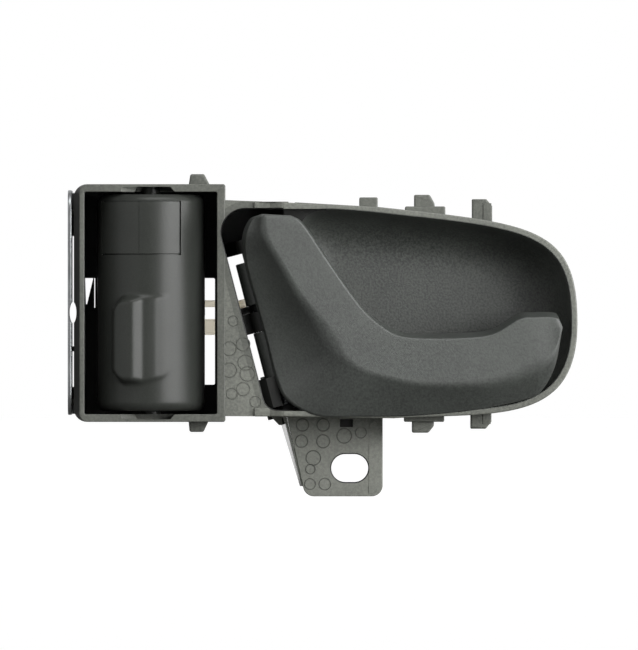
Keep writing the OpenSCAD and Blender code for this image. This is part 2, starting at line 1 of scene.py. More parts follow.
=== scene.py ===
"""Looks of an inside door release handle with a lock knob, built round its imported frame.

Sizes are millimetres in the part's own frame: X to the right, Y into the door, Z up, with the
origin in the middle of the screw slot. Meshes are made in millimetres and scaled to metres last.
"""

import logging
import math
from dataclasses import dataclass
from enum import Enum
from typing import Callable, Iterable, Optional, Sequence

import bpy
import numpy as np
from mathutils import Matrix, Vector


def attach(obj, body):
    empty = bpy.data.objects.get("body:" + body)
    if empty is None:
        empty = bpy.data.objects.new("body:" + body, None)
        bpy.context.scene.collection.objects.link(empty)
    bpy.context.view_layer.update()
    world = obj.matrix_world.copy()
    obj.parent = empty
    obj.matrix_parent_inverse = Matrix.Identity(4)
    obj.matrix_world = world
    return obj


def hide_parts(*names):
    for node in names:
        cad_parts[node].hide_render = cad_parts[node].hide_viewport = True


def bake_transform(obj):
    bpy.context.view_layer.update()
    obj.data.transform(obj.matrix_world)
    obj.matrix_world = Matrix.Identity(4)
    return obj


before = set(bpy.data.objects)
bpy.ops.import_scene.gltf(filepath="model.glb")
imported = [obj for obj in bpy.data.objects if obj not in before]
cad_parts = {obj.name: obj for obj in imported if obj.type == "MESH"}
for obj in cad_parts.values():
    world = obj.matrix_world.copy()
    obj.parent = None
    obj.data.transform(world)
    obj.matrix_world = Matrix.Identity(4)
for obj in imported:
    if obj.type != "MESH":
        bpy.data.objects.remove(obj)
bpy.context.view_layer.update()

LOG = logging.getLogger("release_handle")
MM = 0.001

# depth in front of the whole housing, where cuts from the front begin
HOUSING_CLEAR = -30.0

# first two numbers of a Map Range node: the span that the values of a noise mostly fill
NOISE_SPAN = {1: 0.3, 2: 0.7}

Mapper = Callable[[np.ndarray], np.ndarray]


class Body(Enum):
    """The moving bodies of the frame."""

    HOUSING = "housing"
    LEVER = "lever"
    LATCH_CLIP = "latch_clip"
    LOCK = "lock"
    LOCK_CLIP = "lock_clip"


class Slot(Enum):
    """The record's material slots."""

    HOUSING = "housing_plastic"
    LEVER = "lever_plastic"
    KNOB = "knob_plastic"
    INDICATOR = "indicator_plastic"
    ZINC = "zinc_steel"
    PIN = "pin_steel"
    SPRING = "spring_steel"
    RUBBER = "bumper_rubber"
    NYLON = "natural_nylon"


class Join(Enum):
    """How a tool solid changes the blank it is set in."""

    ADD = "UNION"
    CUT = "DIFFERENCE"


# Outlines


def arc(centre: Sequence[float], radius: float, start: float, end: float, steps: int = 12) -> np.ndarray:
    """Points on a circular arc.

    Args:
        centre: The arc's centre.
        radius: Its radius.
        start: First angle in degrees.
        end: Last angle in degrees.
        steps: Number of chords.

    Returns:
        The points, both ends included.
    """
    turn = np.radians(np.linspace(start, end, steps + 1))
    return np.column_stack([centre[0] + radius * np.cos(turn), centre[1] + radius * np.sin(turn)])


def circle(radius: float, steps: int = 48) -> np.ndarray:
    """A closed circle of points."""
    return arc((0.0, 0.0), radius, 0, 360, steps)[:-1]


def bezier(corners: Sequence[Sequence[float]], steps: int = 24) -> np.ndarray:
    """Points on a cubic curve, its last point left out."""
    p = np.asarray(corners, float)
    t = np.arange(steps)[:, None] / steps
    return (1 - t) ** 3 * p[0] + 3 * t * (1 - t) ** 2 * p[1] + 3 * t**2 * (1 - t) * p[2] + t**3 * p[3]


def spline(rows: np.ndarray, places: np.ndarray) -> np.ndarray:
    """Rows read between stations by a curve through all of them.

    Args:
        rows: One station per row.
        places: Where to read, counted in stations.

    Returns:
        One row per place.
    """
    last = len(rows) - 1
    at = np.clip(np.floor(places).astype(int), 0, last - 1)
    t = (places - at)[:, None]
    a, b, c, d = (rows[np.clip(at + k, 0, last)] for k in (-1, 0, 1, 2))
    return 0.5 * (2 * b + (c - a) * t + (2 * a - 5 * b + 4 * c - d) * t**2 + (3 * b - a - 3 * c + d) * t**3)


def rounded(corners: Sequence[Sequence[float]], steps: int = 6) -> np.ndarray:
    """A polygon with rounded corners.

    Args:
        corners: Each corner as (u, v, radius).
        steps: Chords per corner.

    Returns:
        The outline, with steps + 1 points per corner.
    """
    table = np.asarray(corners, float)
    points = []
    for i, (u, v, radius) in enumerate(table):
        here = np.array([u, v])
        back = table[i - 1, :2] - here
        ahead = table[(i + 1) % len(table), :2] - here
        back, ahead = back / np.linalg.norm(back), ahead / np.linalg.norm(ahead)
        half = math.acos(float(np.clip(back @ ahead, -1, 1))) / 2
        reach = radius / math.tan(half)
        middle = here + (back + ahead) / np.linalg.norm(back + ahead) * radius / math.sin(half)
        first, last = here + back * reach - middle, here + ahead * reach - middle
        sweep = math.atan2(first[0] * last[1] - first[1] * last[0], first @ last)
        for share in np.linspace(0, 1, steps + 1):
            c, s = math.cos(sweep * share), math.sin(sweep * share)
            points.append(middle + np.array([c * first[0] - s * first[1], s * first[0] + c * first[1]]))
    return np.array(points)


def rectangle(low: Sequence[float], high: Sequence[float], radius: float, steps: int = 4) -> np.ndarray:
    """A rectangle with equal rounded corners."""
    (a, b), (c, d) = low, high
    return rounded([(a, b, radius), (c, b, radius), (c, d, radius), (a, d, radius)], steps)


def outward(outline: np.ndarray) -> np.ndarray:
    """Mitred directions out of an outline, one per point, sized for an offset of one."""
    ahead = np.roll(outline, -1, 0) - outline
    ahead = ahead / np.maximum(np.linalg.norm(ahead, axis=1, keepdims=True), 1e-9)
    side = np.column_stack([ahead[:, 1], -ahead[:, 0]])
    area = np.sum(outline[:, 0] * np.roll(outline[:, 1], -1) - outline[:, 1] * np.roll(outline[:, 0], -1))
    side = side if area > 0 else -side
    both = side + np.roll(side, 1, 0)
    return both / np.maximum(np.sum(both * both, axis=1, keepdims=True) / 2, 0.4)


# Solids


@dataclass
class Solid:
    """A closed skin in millimetres."""

    points: np.ndarray
    faces: list[tuple[int, ...]]

    def placed(self, place: Mapper) -> "Solid":
        """This solid with every point sent through a placing function."""
        return Solid(place(self.points), self.faces)

    def moved(self, x: float = 0.0, y: float = 0.0, z: float = 0.0) -> "Solid":
        """This solid shifted."""
        return Solid(self.points + np.array([x, y, z]), self.faces)

    def volume(self) -> float:
        """Signed volume, negative where the faces look inwards."""
        p = self.points
        return sum(
            float(np.dot(p[f[0]], np.cross(p[f[k]], p[f[k + 1]])))
            for f in self.faces
            for k in range(1, len(f) - 1)
        )


def facing(p: np.ndarray) -> np.ndarray:
    """Places an outline drawn in (x, z), with its depth along Y."""
    return p[:, [0, 2, 1]]


def edgewise(p: np.ndarray) -> np.ndarray:
    """Places an outline drawn in (y, z), with its depth along X."""
    return p[:, [2, 0, 1]]


def loft(rings: Sequence[np.ndarray]) -> Solid:
    """A solid through rings of equal count, with flat ends."""
    stack = np.asarray(rings, float)
    count, size = stack.shape[:2]
    faces: list[tuple[int, ...]] = []
    for i in range(count - 1):
        for j in range(size):
            k = (j + 1) % size
            faces.append((i * size + j, i * size + k, (i + 1) * size + k, (i + 1) * size + j))
    faces.append(tuple(range(size - 1, -1, -1)))
    faces.append(tuple(range((count - 1) * size, count * size)))
    return Solid(stack.reshape(-1, 3), faces)


def level(outline: np.ndarray, depth: float | np.ndarray) -> np.ndarray:
    """An outline as a ring at one depth."""
    return np.column_stack([outline, np.broadcast_to(depth, len(outline))])


def slab(
    outline: np.ndarray,
    low: float,
    high: float,
    low_round: float = 0.0,
    high_round: float = 0.0,
    steps: int = 3,
) -> Solid:
    """A plate with rounded edges.

    Args:
        outline: Its outline.
        low: Depth of one face.
        high: Depth of the other face.
        low_round: Edge radius at the low face.
        high_round: Edge radius at the high face.
        steps: Chords per rounded edge.

    Returns:
        The plate, drawn in (u, v) with its depth third.
    """
    out = outward(outline)
    rings = []
    for radius, face, way in ((low_round, low, 1), (high_round, high, -1)):
        turns = np.linspace(0, math.pi / 2, steps + 1) if radius else np.array([math.pi / 2])
        edge = [
            level(outline - out * radius * (1 - math.sin(a)), face + way * radius * (1 - math.cos(a)))
            for a in turns
        ]
        rings += edge if way > 0 else edge[::-1]
    return loft(rings)


def flared(outline: np.ndarray, flare: float, front: float, above: float) -> list[np.ndarray]:
    """Rings of a mouth's rounded edge.

    Args:
        outline: The mouth.
        flare: Radius of its edge.
        front: Depth of the face it opens in.
        above: Depth in front of that face where the first ring stands.

    Returns:
        The rings, from the front to where the edge ends.
    """
    out = outward(outline)
    rings = [level(outline + out * flare, above)]
    for sink in np.linspace(0, 1, 5):
        spread = out * flare * (1 - math.sqrt(1 - (1 - sink) ** 2))
        rings.append(level(outline + spread, front + flare * sink))
    return rings


def block(low: Sequence[float], high: Sequence[float], radius: float = 0.25) -> Solid:
    """A rounded box between two corners."""
    return slab(rectangle(low[:2], high[:2], radius), low[2], high[2], radius, radius)


def turned(profile: Sequence[Sequence[float]], steps: int = 40) -> Solid:
    """A solid turned about its third axis from (radius, height) pairs."""
    return loft([level(circle(r, steps), h) for r, h in profile])


def rod(radius: float, low: float, high: float, edge: float = 0.3) -> Solid:
    """A round bar with rounded ends, along its third axis."""
    return slab(circle(radius), low, high, edge, edge)


class Blank:
    """A mesh object that other solids are added to and cut from."""

    def __init__(self, name: str, solid: Solid, finish: bpy.types.Material) -> None:
        """Makes the object of the first solid in its finish."""
        self.finish = finish
        self.tools: list[bpy.types.Object] = []
        self.object = self.skin(name, solid, finish)

    @staticmethod
    def skin(name: str, solid: Solid, finish: bpy.types.Material) -> bpy.types.Object:
        """A mesh object of a solid, with its faces looking outwards."""
        faces = solid.faces if solid.volume() > 0 else [f[::-1] for f in solid.faces]
        mesh = bpy.data.meshes.new(name)
        mesh.from_pydata(solid.points.tolist(), [], faces)
        mesh.materials.append(finish)
        made = bpy.data.objects.new(name, mesh)
        bpy.context.scene.collection.objects.link(made)
        return made

    def join(
        self, how: Join, solids: Iterable[Solid], finish: Optional[bpy.types.Material] = None
    ) -> "Blank":
        """Queues solids to be added or cut, in order.

        Args:
            how: Whether they add or cut.
            solids: The tool solids.
            finish: The finish that their faces bring along.

        Returns:
            The blank itself.
        """
        for solid in solids:
            tool = self.skin(f"{self.object.name}_tool", solid, finish or self.finish)
            step = self.object.modifiers.new("join", "BOOLEAN")
            step.operation, step.solver, step.object = how.value, "MANIFOLD", tool
            step.material_mode = "TRANSFER"
            self.tools.append(tool)
        return self

    def done(self) -> bpy.types.Object:
        """Works the queued solids in and returns the object."""
        as_mesh(self.object)
        for tool in self.tools:
            bpy.data.objects.remove(tool)
        self.tools = []
        return self.object


def as_mesh(made: bpy.types.Object) -> bpy.types.Object:
    """Turns an object and its modifiers into one plain mesh."""
    bpy.context.view_layer.update()
    graph = bpy.context.evaluated_depsgraph_get()
    evaluated = made.evaluated_get(graph)
    mesh = bpy.data.meshes.new_from_object(evaluated, preserve_all_data_layers=True, depsgraph=graph)
    made.modifiers.clear()
    made.data = mesh
    return made


def paint(
    made: bpy.types.Object,
    finish: bpy.types.Material,
    low: tuple[float, ...],
    high: tuple[float, ...],
    towards: tuple[float, ...],
    least: float = 0.3,
) -> None:
    """Gives another finish to the faces inside a box that look one way.

    Args:
        made: The piece, in millimetres.
        finish: The other finish.
        low: One corner of the box.
        high: The opposite corner.
        towards: The way that the faces look.
        least: Least cosine between a face and that way.
    """
    made.data.materials.append(finish)
    for face in made.data.polygons:
        inside = all(a <= c <= b for a, c, b in zip(low, face.center, high))
        if inside and np.dot(face.normal, towards) > least:
            face.material_index = len(made.data.materials) - 1


def dress(
    made: bpy.types.Object, body: Optional[Body], slot: Slot, nodes: Sequence[str], sharp: float = 32
) -> None:
    """Scales a piece to metres, smooths it and ties it to the frame.

    Args:
        made: The piece, in millimetres.
        body: The body it rides on, or None to leave it unattached.
        slot: The record's slot its finish stands for; not used.
        nodes: The CAD nodes it replaces.
        sharp: Edges bent more than this many degrees stay crisp.
    """
    made.data.transform(Matrix.Scale(MM, 4))
    made.data.shade_smooth()
    made.data.set_sharp_from_angle(angle=math.radians(sharp))
    weigh = made.modifiers.new("weigh", "WEIGHTED_NORMAL")
    weigh.keep_sharp = True
    as_mesh(made)
    if body is not None:
        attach(made, body.value)
    if nodes:
        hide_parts(*nodes)
    LOG.info("%s: %d faces for %s", made.name, len(made.data.polygons), ", ".join(nodes) or "no node")


# Node trees


def add_node(
    tree: bpy.types.NodeTree, kind: str, inputs: Optional[dict] = None, **settings: object
) -> bpy.types.Node:
    """Adds a node with its settings and links.

    Args:
        tree: The tree it goes in.
        kind: Blender's name for the node.
        inputs: Input names or numbers with the value or the socket that feeds each.
        settings: The node's own properties.

    Returns:
        The node.
    """
    node = tree.nodes.new(kind)
    for name, value in settings.items():
        setattr(node, name, value)
    for key, value in (inputs or {}).items():
        if isinstance(value, bpy.types.NodeSocket):
            tree.links.new(value, node.inputs[key])
        else:
            node.inputs[key].default_value = value
    return node


class Repeater:
    """A Geometry Nodes tree with named inputs, and the modifier work round it."""

    def __init__(self, name: str, sockets: Sequence[tuple[str, str]]) -> None:
        """Makes an empty tree with these (name, socket type) inputs after its geometry."""
        self.tree = bpy.data.node_groups.new(name, "GeometryNodeTree")
        face = self.tree.interface
        face.new_socket("Geometry", in_out="OUTPUT", socket_type="NodeSocketGeometry")
        face.new_socket("Geometry", in_out="INPUT", socket_type="NodeSocketGeometry")
        self.keys = {n: face.new_socket(n, in_out="INPUT", socket_type=k).identifier for n, k in sockets}
        self.source = add_node(self.tree, "NodeGroupInput").outputs

    def add(
        self, kind: str, inputs: Optional[dict] = None, **settings: object
    ) -> Sequence[bpy.types.NodeSocket]:
        """Adds a node and returns its outputs."""
        return add_node(self.tree, kind, inputs, **settings).outputs

    def close(self, geometry: bpy.types.NodeSocket) -> "Repeater":
        """Ends the tree in Realize Instances and Set Material."""
        finish = self.source["Finish"]
        real = self.add("GeometryNodeRealizeInstances", {"Geometry": geometry})
        dressed = self.add("GeometryNodeSetMaterial", {"Geometry": real[0], "Material": finish})
        add_node(self.tree, "NodeGroupOutput", {"Geometry": dressed[0]})
        return self

    def grow(self, made: bpy.types.Object, values: dict[str, object]) -> bpy.types.Object:
        """Runs the tree on an object and leaves a plain mesh.

        Args:
            made: The object that carries the points or the path.
            values: A value for each named input.

        Returns:
            The same object with the grown mesh.
        """
        step = made.modifiers.new(self.tree.name, "NODES")
        step.node_group = self.tree
        for name, value in values.items():
            step[self.keys[name]] = value
        return as_mesh(made)


def fastener_tree() -> Repeater:
    """A tree that sets one fastener on every point."""
    tree = Repeater(
        "set_fasteners",
        [("Fastener", "NodeSocketObject"), ("Turn", "NodeSocketVector"), ("Finish", "NodeSocketMaterial")],
    )
    shape = tree.add("GeometryNodeObjectInfo", {"Object": tree.source["Fastener"]})
    turn = tree.add("FunctionNodeEulerToRotation", {0: tree.source["Turn"]})
    points = tree.add("GeometryNodeMeshToPoints", {"Mesh": tree.source["Geometry"]})
    placed = tree.add(
        "GeometryNodeInstanceOnPoints",
        {"Points": points[0], "Instance": shape["Geometry"], "Rotation": turn[0]},
    )
    return tree.close(placed[0])


def ring_tree() -> Repeater:
    """A tree that lays a raised ring round every point, as wide as the point's ring_size."""
    tree = Repeater("tool_rings", [("Line radius", "NodeSocketFloat"), ("Finish", "NodeSocketMaterial")])
    size = tree.add("GeometryNodeInputNamedAttribute", {"Name": "ring_size"}, data_type="FLOAT")
    ring = tree.add("GeometryNodeCurvePrimitiveCircle", {"Resolution": 36, "Radius": 1.0})
    points = tree.add("GeometryNodeMeshToPoints", {"Mesh": tree.source["Geometry"]})
    placed = tree.add(
        "GeometryNodeInstanceOnPoints",
        {"Points": points[0], "Instance": ring[0], "Rotation": (math.pi / 2, 0, 0), "Scale": size[0]},
    )
    real = tree.add("GeometryNodeRealizeInstances", {"Geometry": placed[0]})
    radius = tree.source["Line radius"]
    line = tree.add("GeometryNodeCurvePrimitiveCircle", {"Resolution": 6, "Radius": radius})
    swept = tree.add("GeometryNodeCurveToMesh", {"Curve": real[0], "Profile Curve": line[0]})
    return tree.close(swept[0])


def wire_tree() -> Repeater:
    """A tree that draws round wire along an edge path."""
    tree = Repeater("draw_wire", [("Wire radius", "NodeSocketFloat"), ("Finish", "NodeSocketMaterial")])
    path = tree.add("GeometryNodeMeshToCurve", {"Mesh": tree.source["Geometry"]})
    radius = tree.source["Wire radius"]
    cut = tree.add("GeometryNodeCurvePrimitiveCircle", {"Resolution": 12, "Radius": radius})
    swept = tree.add(
        "GeometryNodeCurveToMesh", {"Curve": path[0], "Profile Curve": cut[0], "Fill Caps": True}
    )
    return tree.close(swept[0])


def points_object(name: str, points: Sequence[Sequence[float]], path: bool = False) -> bpy.types.Object:
    """A mesh of bare points, or of an edge path through them."""
    mesh = bpy.data.meshes.new(name)
    edges = [(i, i + 1) for i in range(len(points) - 1)] if path else []
    mesh.from_pydata([tuple(float(c) for c in p) for p in points], edges, [])
    made = bpy.data.objects.new(name, mesh)
    bpy.context.scene.collection.objects.link(made)
    return made


def set_fasteners(
    name: str,
    solid: Solid,
    places: Sequence[Sequence[float]],
    finish: bpy.types.Material,
    turn: Sequence[float] = (0, 0, 0),
) -> bpy.types.Object:
    """Sets copies of one fastener at places.

    Args:
        name: Name of the piece.
        solid: The fastener, standing on its third axis.
        places: Where each one's origin goes.
        finish: Their finish.
        turn: Rotation of all of them, in radians about X, Y and Z.

    Returns:
        One mesh with all of them.
    """
    pattern = Blank.skin(f"{name}_pattern", solid, finish)
    made = fastener_tree().grow(
        points_object(name, places), {"Fastener": pattern, "Turn": tuple(turn), "Finish": finish}
    )
    bpy.data.objects.remove(pattern)
    return made


# Finishes


def linear(code: str) -> tuple[float, float, float, float]:
    """An sRGB hex colour as linear light."""
    values = [int(code[i : i + 2], 16) / 255 for i in (1, 3, 5)]
    r, g, b = (v / 12.92 if v <= 0.04045 else ((v + 0.055) / 1.055) ** 2.4 for v in values)
    return (r, g, b, 1.0)


def per_mm(size: float) -> float:
    """Texture scale that gives features of a size in millimetres."""
    return 1 / (size * MM)


def new_finish(name: str) -> tuple[bpy.types.Material, bpy.types.Node, bpy.types.NodeSocket]:
    """A material, its shader and the coordinates of the object it is on."""
    finish = bpy.data.materials.new(name)
    finish.use_nodes = True
    place = add_node(finish.node_tree, "ShaderNodeTexCoord").outputs["Object"]
    return finish, finish.node_tree.nodes["Principled BSDF"], place


def feed(
    finish: bpy.types.Material,
    colour: bpy.types.NodeSocket,
    rough: bpy.types.NodeSocket,
    bump: bpy.types.NodeSocket,
) -> bpy.types.Material:
    """Links what varies over a surface to its shader and returns the material."""
    tree = finish.node_tree
    for socket, value in (("Base Color", colour), ("Roughness", rough), ("Normal", bump)):
        tree.links.new(value, tree.nodes["Principled BSDF"].inputs[socket])
    return finish


@dataclass(frozen=True)
class MouldedPlastic:
    """A moulded thermoplastic with a grained tool surface.

    The eye gets a matt charcoal with a fine speckle, because each grain catches the light on its
    own, and slow cloudy changes of shade where the melt has flowed.
    """

    name: str
    dark: str
    light: str
    roughness: float
    grain_mm: float
    grain_depth_mm: float
    speckle: float
    cloud_mm: float = 14.0
    shine: float = 1.0

    def make(self) -> bpy.types.Material:
        """Builds the material."""
        finish, shader, place = new_finish(self.name)
        tree = finish.node_tree
        shader.inputs["IOR"].default_value = 1.54
        shader.inputs["Specular IOR Level"].default_value = self.shine
        grain = add_node(
            tree,
            "ShaderNodeTexNoise",
            {"Vector": place, "Scale": per_mm(self.grain_mm), "Detail": 2.5, "Roughness": 0.6},
        ).outputs[0]
        cloud = add_node(
            tree, "ShaderNodeTexNoise", {"Vector": place, "Scale": per_mm(self.cloud_mm), "Detail": 3.0}
        ).outputs[0]
        fleck = add_node(
            tree,
            "ShaderNodeMapRange",
            {"Value": grain, **NOISE_SPAN, 3: 0.5 - self.speckle, 4: 0.5 + self.speckle},
        ).outputs[0]
        share = add_node(tree, "ShaderNodeMath", {0: fleck, 1: cloud}, operation="ADD").outputs[0]
        share = add_node(tree, "ShaderNodeMath", {0: share, 1: 0.5}, operation="SUBTRACT").outputs[0]
        colour = add_node(
            tree,
            "ShaderNodeMix",
            {0: share, 6: linear(self.dark), 7: linear(self.light)},
            data_type="RGBA",
        ).outputs[2]
        rough = add_node(
            tree,
            "ShaderNodeMapRange",
            {"Value": grain, **NOISE_SPAN, 3: self.roughness - 0.05, 4: self.roughness + 0.06},
        ).outputs[0]
        bump = add_node(
            tree, "ShaderNodeBump", {"Height": grain, "Strength": 0.8, "Distance": self.grain_depth_mm * MM}
        ).outputs[0]
        return feed(finish, colour, rough, bump)


@dataclass(frozen=True)
class WorkedSteel:
    """Steel stamped, ground or drawn and then plated, blackened or oiled.

    The eye gets a soft metal sheen with faint lines of working along one direction and a slow
    mottle of the coating.
    """

    name: str
    dark: str
    light: str
    roughness: float
    line_mm: float
    stretch: tuple[float, float, float]

    def make(self) -> bpy.types.Material:
        """Builds the material."""
        finish, shader, place = new_finish(self.name)
        tree = finish.node_tree
        shader.inputs["Metallic"].default_value = 1.0
        drawn = add_node(tree, "ShaderNodeMapping", {"Vector": place, "Scale": self.stretch}).outputs[0]
        lines = add_node(
            tree, "ShaderNodeTexNoise", {"Vector": drawn, "Scale": per_mm(self.line_mm), "Detail": 3.0}
        ).outputs[0]
        mottle = add_node(
            tree, "ShaderNodeTexNoise", {"Vector": place, "Scale": per_mm(3.5), "Detail": 4.0}
        ).outputs[0]
        colour = add_node(
            tree,
            "ShaderNodeMix",
            {0: mottle, 6: linear(self.dark), 7: linear(self.light)},
            data_type="RGBA",
        ).outputs[2]
        rough = add_node(
            tree,
            "ShaderNodeMapRange",
            {"Value": lines, **NOISE_SPAN, 3: self.roughness - 0.07, 4: self.roughness + 0.08},
        ).outputs[0]
        bump = add_node(
            tree, "ShaderNodeBump", {"Height": lines, "Strength": 0.35, "Distance": 0.02 * MM}
        ).outputs[0]
        return feed(finish, colour, rough, bump)


@dataclass(frozen=True)
class MilkyNylon:
    """Natural nylon as it leaves the mould: milky, waxy and a little see-through at thin edges."""

    name: str = "nylon_66_natural_moulded"
    colour: str = "#efe9da"
    shade: str = "#e2dac6"

    def make(self) -> bpy.types.Material:
        """Builds the material."""
        finish, shader, place = new_finish(self.name)
        tree = finish.node_tree
        shader.inputs["Transmission Weight"].default_value = 0.8
        shader.inputs["Subsurface Weight"].default_value = 0.6
        shader.inputs["Subsurface Radius"].default_value = (1.0, 0.94, 0.82)
        shader.inputs["Subsurface Scale"].default_value = 2.5 * MM
        shader.inputs["IOR"].default_value = 1.53
        wax = add_node(
            tree, "ShaderNodeTexNoise", {"Vector": place, "Scale": per_mm(2.2), "Detail": 3.0}
        ).outputs[0]
        colour = add_node(
            tree, "ShaderNodeMix", {0: wax, 6: linear(self.shade), 7: linear(self.colour)}, data_type="RGBA"
        ).outputs[2]
        rough = add_node(
            tree, "ShaderNodeMapRange", {"Value": wax, **NOISE_SPAN, 3: 0.38, 4: 0.5}
        ).outputs[0]
        bump = add_node(
            tree, "ShaderNodeBump", {"Height": wax, "Strength": 0.3, "Distance": 0.03 * MM}
        ).outputs[0]
        return feed(finish, colour, rough, bump)


class Finishes:
    """Every finish of the handle, made once."""

    def __init__(self) -> None:
        """Makes the materials."""
        # spark-eroded face of the box and the hooks: charcoal with a fine pale fleck
        self.frame_plastic = MouldedPlastic(
            "abs_moulded_eroded", "#464843", "#666861", 0.55, 0.75, 0.05, 0.3, shine=0.5
        ).make()
        # fine leather grain of the dish: even and matt
        self.dish_plastic = MouldedPlastic(
            "abs_moulded_fine_grain", "#222522", "#4a4e49", 0.6, 0.6, 0.07, 0.7
        ).make()
        # the web and the rim: the eroded face painted a tone paler, as painted light for the light that falls
        # full on these front faces; the tone matched
        self.rim_plastic_painted_light = MouldedPlastic(
            "abs_moulded_rim_grain", "#535550", "#7a7c74", 0.55, 0.75, 0.05, 0.35, shine=0.5
        ).make()
        # the tab: the eroded face painted paler again, as painted light that lifts the shade the dish casts
        # on it, with a finer fleck; the tone matched
        self.tab_plastic_painted_light = MouldedPlastic(
            "abs_moulded_etched", "#63655f", "#85877f", 0.55, 0.6, 0.05, 0.3, shine=0.5
        ).make()
        # polished sides of the brace: smooth enough to mirror the bright room at a flat angle
        self.rib_plastic = MouldedPlastic(
            "abs_moulded_polished", "#5a5c57", "#6c6e68", 0.2, 0.4, 0.003, 0.1
        ).make()
        # painted shade: a near-black copy of the housing plastic for faces deep in the box and the well, the
        # hinge ears, the bores, the slot and the left chamfer, where shade falls
        self.shade_painted_plastic = MouldedPlastic(
            "abs_moulded_plain", "#141513", "#1c1d1b", 0.5, 0.5, 0.01, 0.2, shine=0.4
        ).make()
        # fine leather grain on the grip, a little smoother than in the dish
        self.grip_plastic = MouldedPlastic(
            "abs_moulded_grip_grain", "#1f221f", "#393e39", 0.58, 0.55, 0.04, 0.6
        ).make()
        # satin tool face of the knob: dark, with a broad soft highlight
        self.knob_plastic = MouldedPlastic(
            "abs_moulded_satin", "#2d2f2c", "#373936", 0.36, 0.4, 0.008, 0.3, shine=0.23
        ).make()
        # the indicator panel in the knob: the same satin, a shade greyer
        self.panel_plastic = MouldedPlastic(
            "abs_panel_satin", "#2f312e", "#393b38", 0.38, 0.4, 0.008, 0.3, shine=0.25
        ).make()
        # zinc-plated strip: grey sheen with rolling lines
        self.zinc = WorkedSteel(
            "zinc_plated_steel_strip", "#8d9092", "#b4b7b8", 0.4, 0.5, (1, 1, 0.06)
        ).make()
        # black phosphate on the pressed latch crank: dark and dull
        self.black_steel = WorkedSteel(
            "phosphated_steel_pressed", "#1d1e1e", "#2b2c2b", 0.55, 0.4, (1, 1, 1)
        ).make()
        # ground pin steel: bright with fine rings
        self.pin = WorkedSteel("ground_steel_pin", "#7c7e80", "#989a9c", 0.28, 0.25, (1, 1, 8)).make()
        # oil-tempered spring wire: blue-grey, dark
        self.wire = WorkedSteel(
            "oil_tempered_spring_wire", "#3c3f42", "#55585c", 0.34, 0.2, (1, 1, 1)
        ).make()
        # moulded rubber of the stops: black and dull
        self.rubber = MouldedPlastic(
            "epdm_rubber_moulded", "#232323", "#2e2e2d", 0.72, 0.3, 0.02, 0.3, shine=0.4
        ).make()
        # natural nylon of the bushes and the rod clips: milky and waxy
        self.nylon = MilkyNylon().make()


# Hinge frame


@dataclass(frozen=True)
class HingeLine:
    """The leaning hinge axis that the lever turns on."""

    x: float = -23.4
    y: float = -18.0
    z: float = 40.8
    lean: float = 14.5
    stop_across: float = 14.0
    stop_along: tuple[float, float] = (10.0, -10.0)
    knuckles: tuple = ((4.8, 16.7), (-16.0, -2.8))
    crank_rivets: tuple = ((5.0, -5.6), (8.6, -10.6))

    def place(self, p: np.ndarray) -> np.ndarray:
        """Sends points drawn about the axis (across, depth, along) to the part's frame."""
        c, s = math.cos(math.radians(self.lean)), math.sin(math.radians(self.lean))
        return np.column_stack(
            [self.x + p[:, 0] * c - p[:, 2] * s, self.y + p[:, 1], self.z + p[:, 0] * s + p[:, 2] * c]
        )

    def point(self, across: float, along: float) -> tuple[float, float]:
        """A point of the hinge plane in (x, z)."""
        made = self.place(np.array([[across, 0.0, along]]))[0]
        return (float(made[0]), float(made[2]))

    def outline(self, points: Sequence[Sequence[float]]) -> np.ndarray:
        """An outline drawn in (across, along), in (x, z)."""
        return np.array([self.point(*p) for p in points])

    def stops(self) -> list[tuple[float, float, float]]:
        """Where the lever's two rubber stops stand."""
        spots = [self.point(self.stop_across, along) for along in self.stop_along]
        return [(x, 0.0, z) for x, z in spots]

    def seat(self, solids: Iterable[Solid]) -> list[Solid]:
        """Solids drawn about the axis, in the part's frame."""
        return [s.placed(self.place) for s in solids]

    def side_at(self, across: float, z: float) -> float:
        """Where the line that runs beside the axis crosses a height."""
        c, s = math.cos(math.radians(self.lean)), math.sin(math.radians(self.lean))
        along = (z - self.z - across * s) / c
        return self.x + across * c - along * s


HINGE = HingeLine()


# Housing


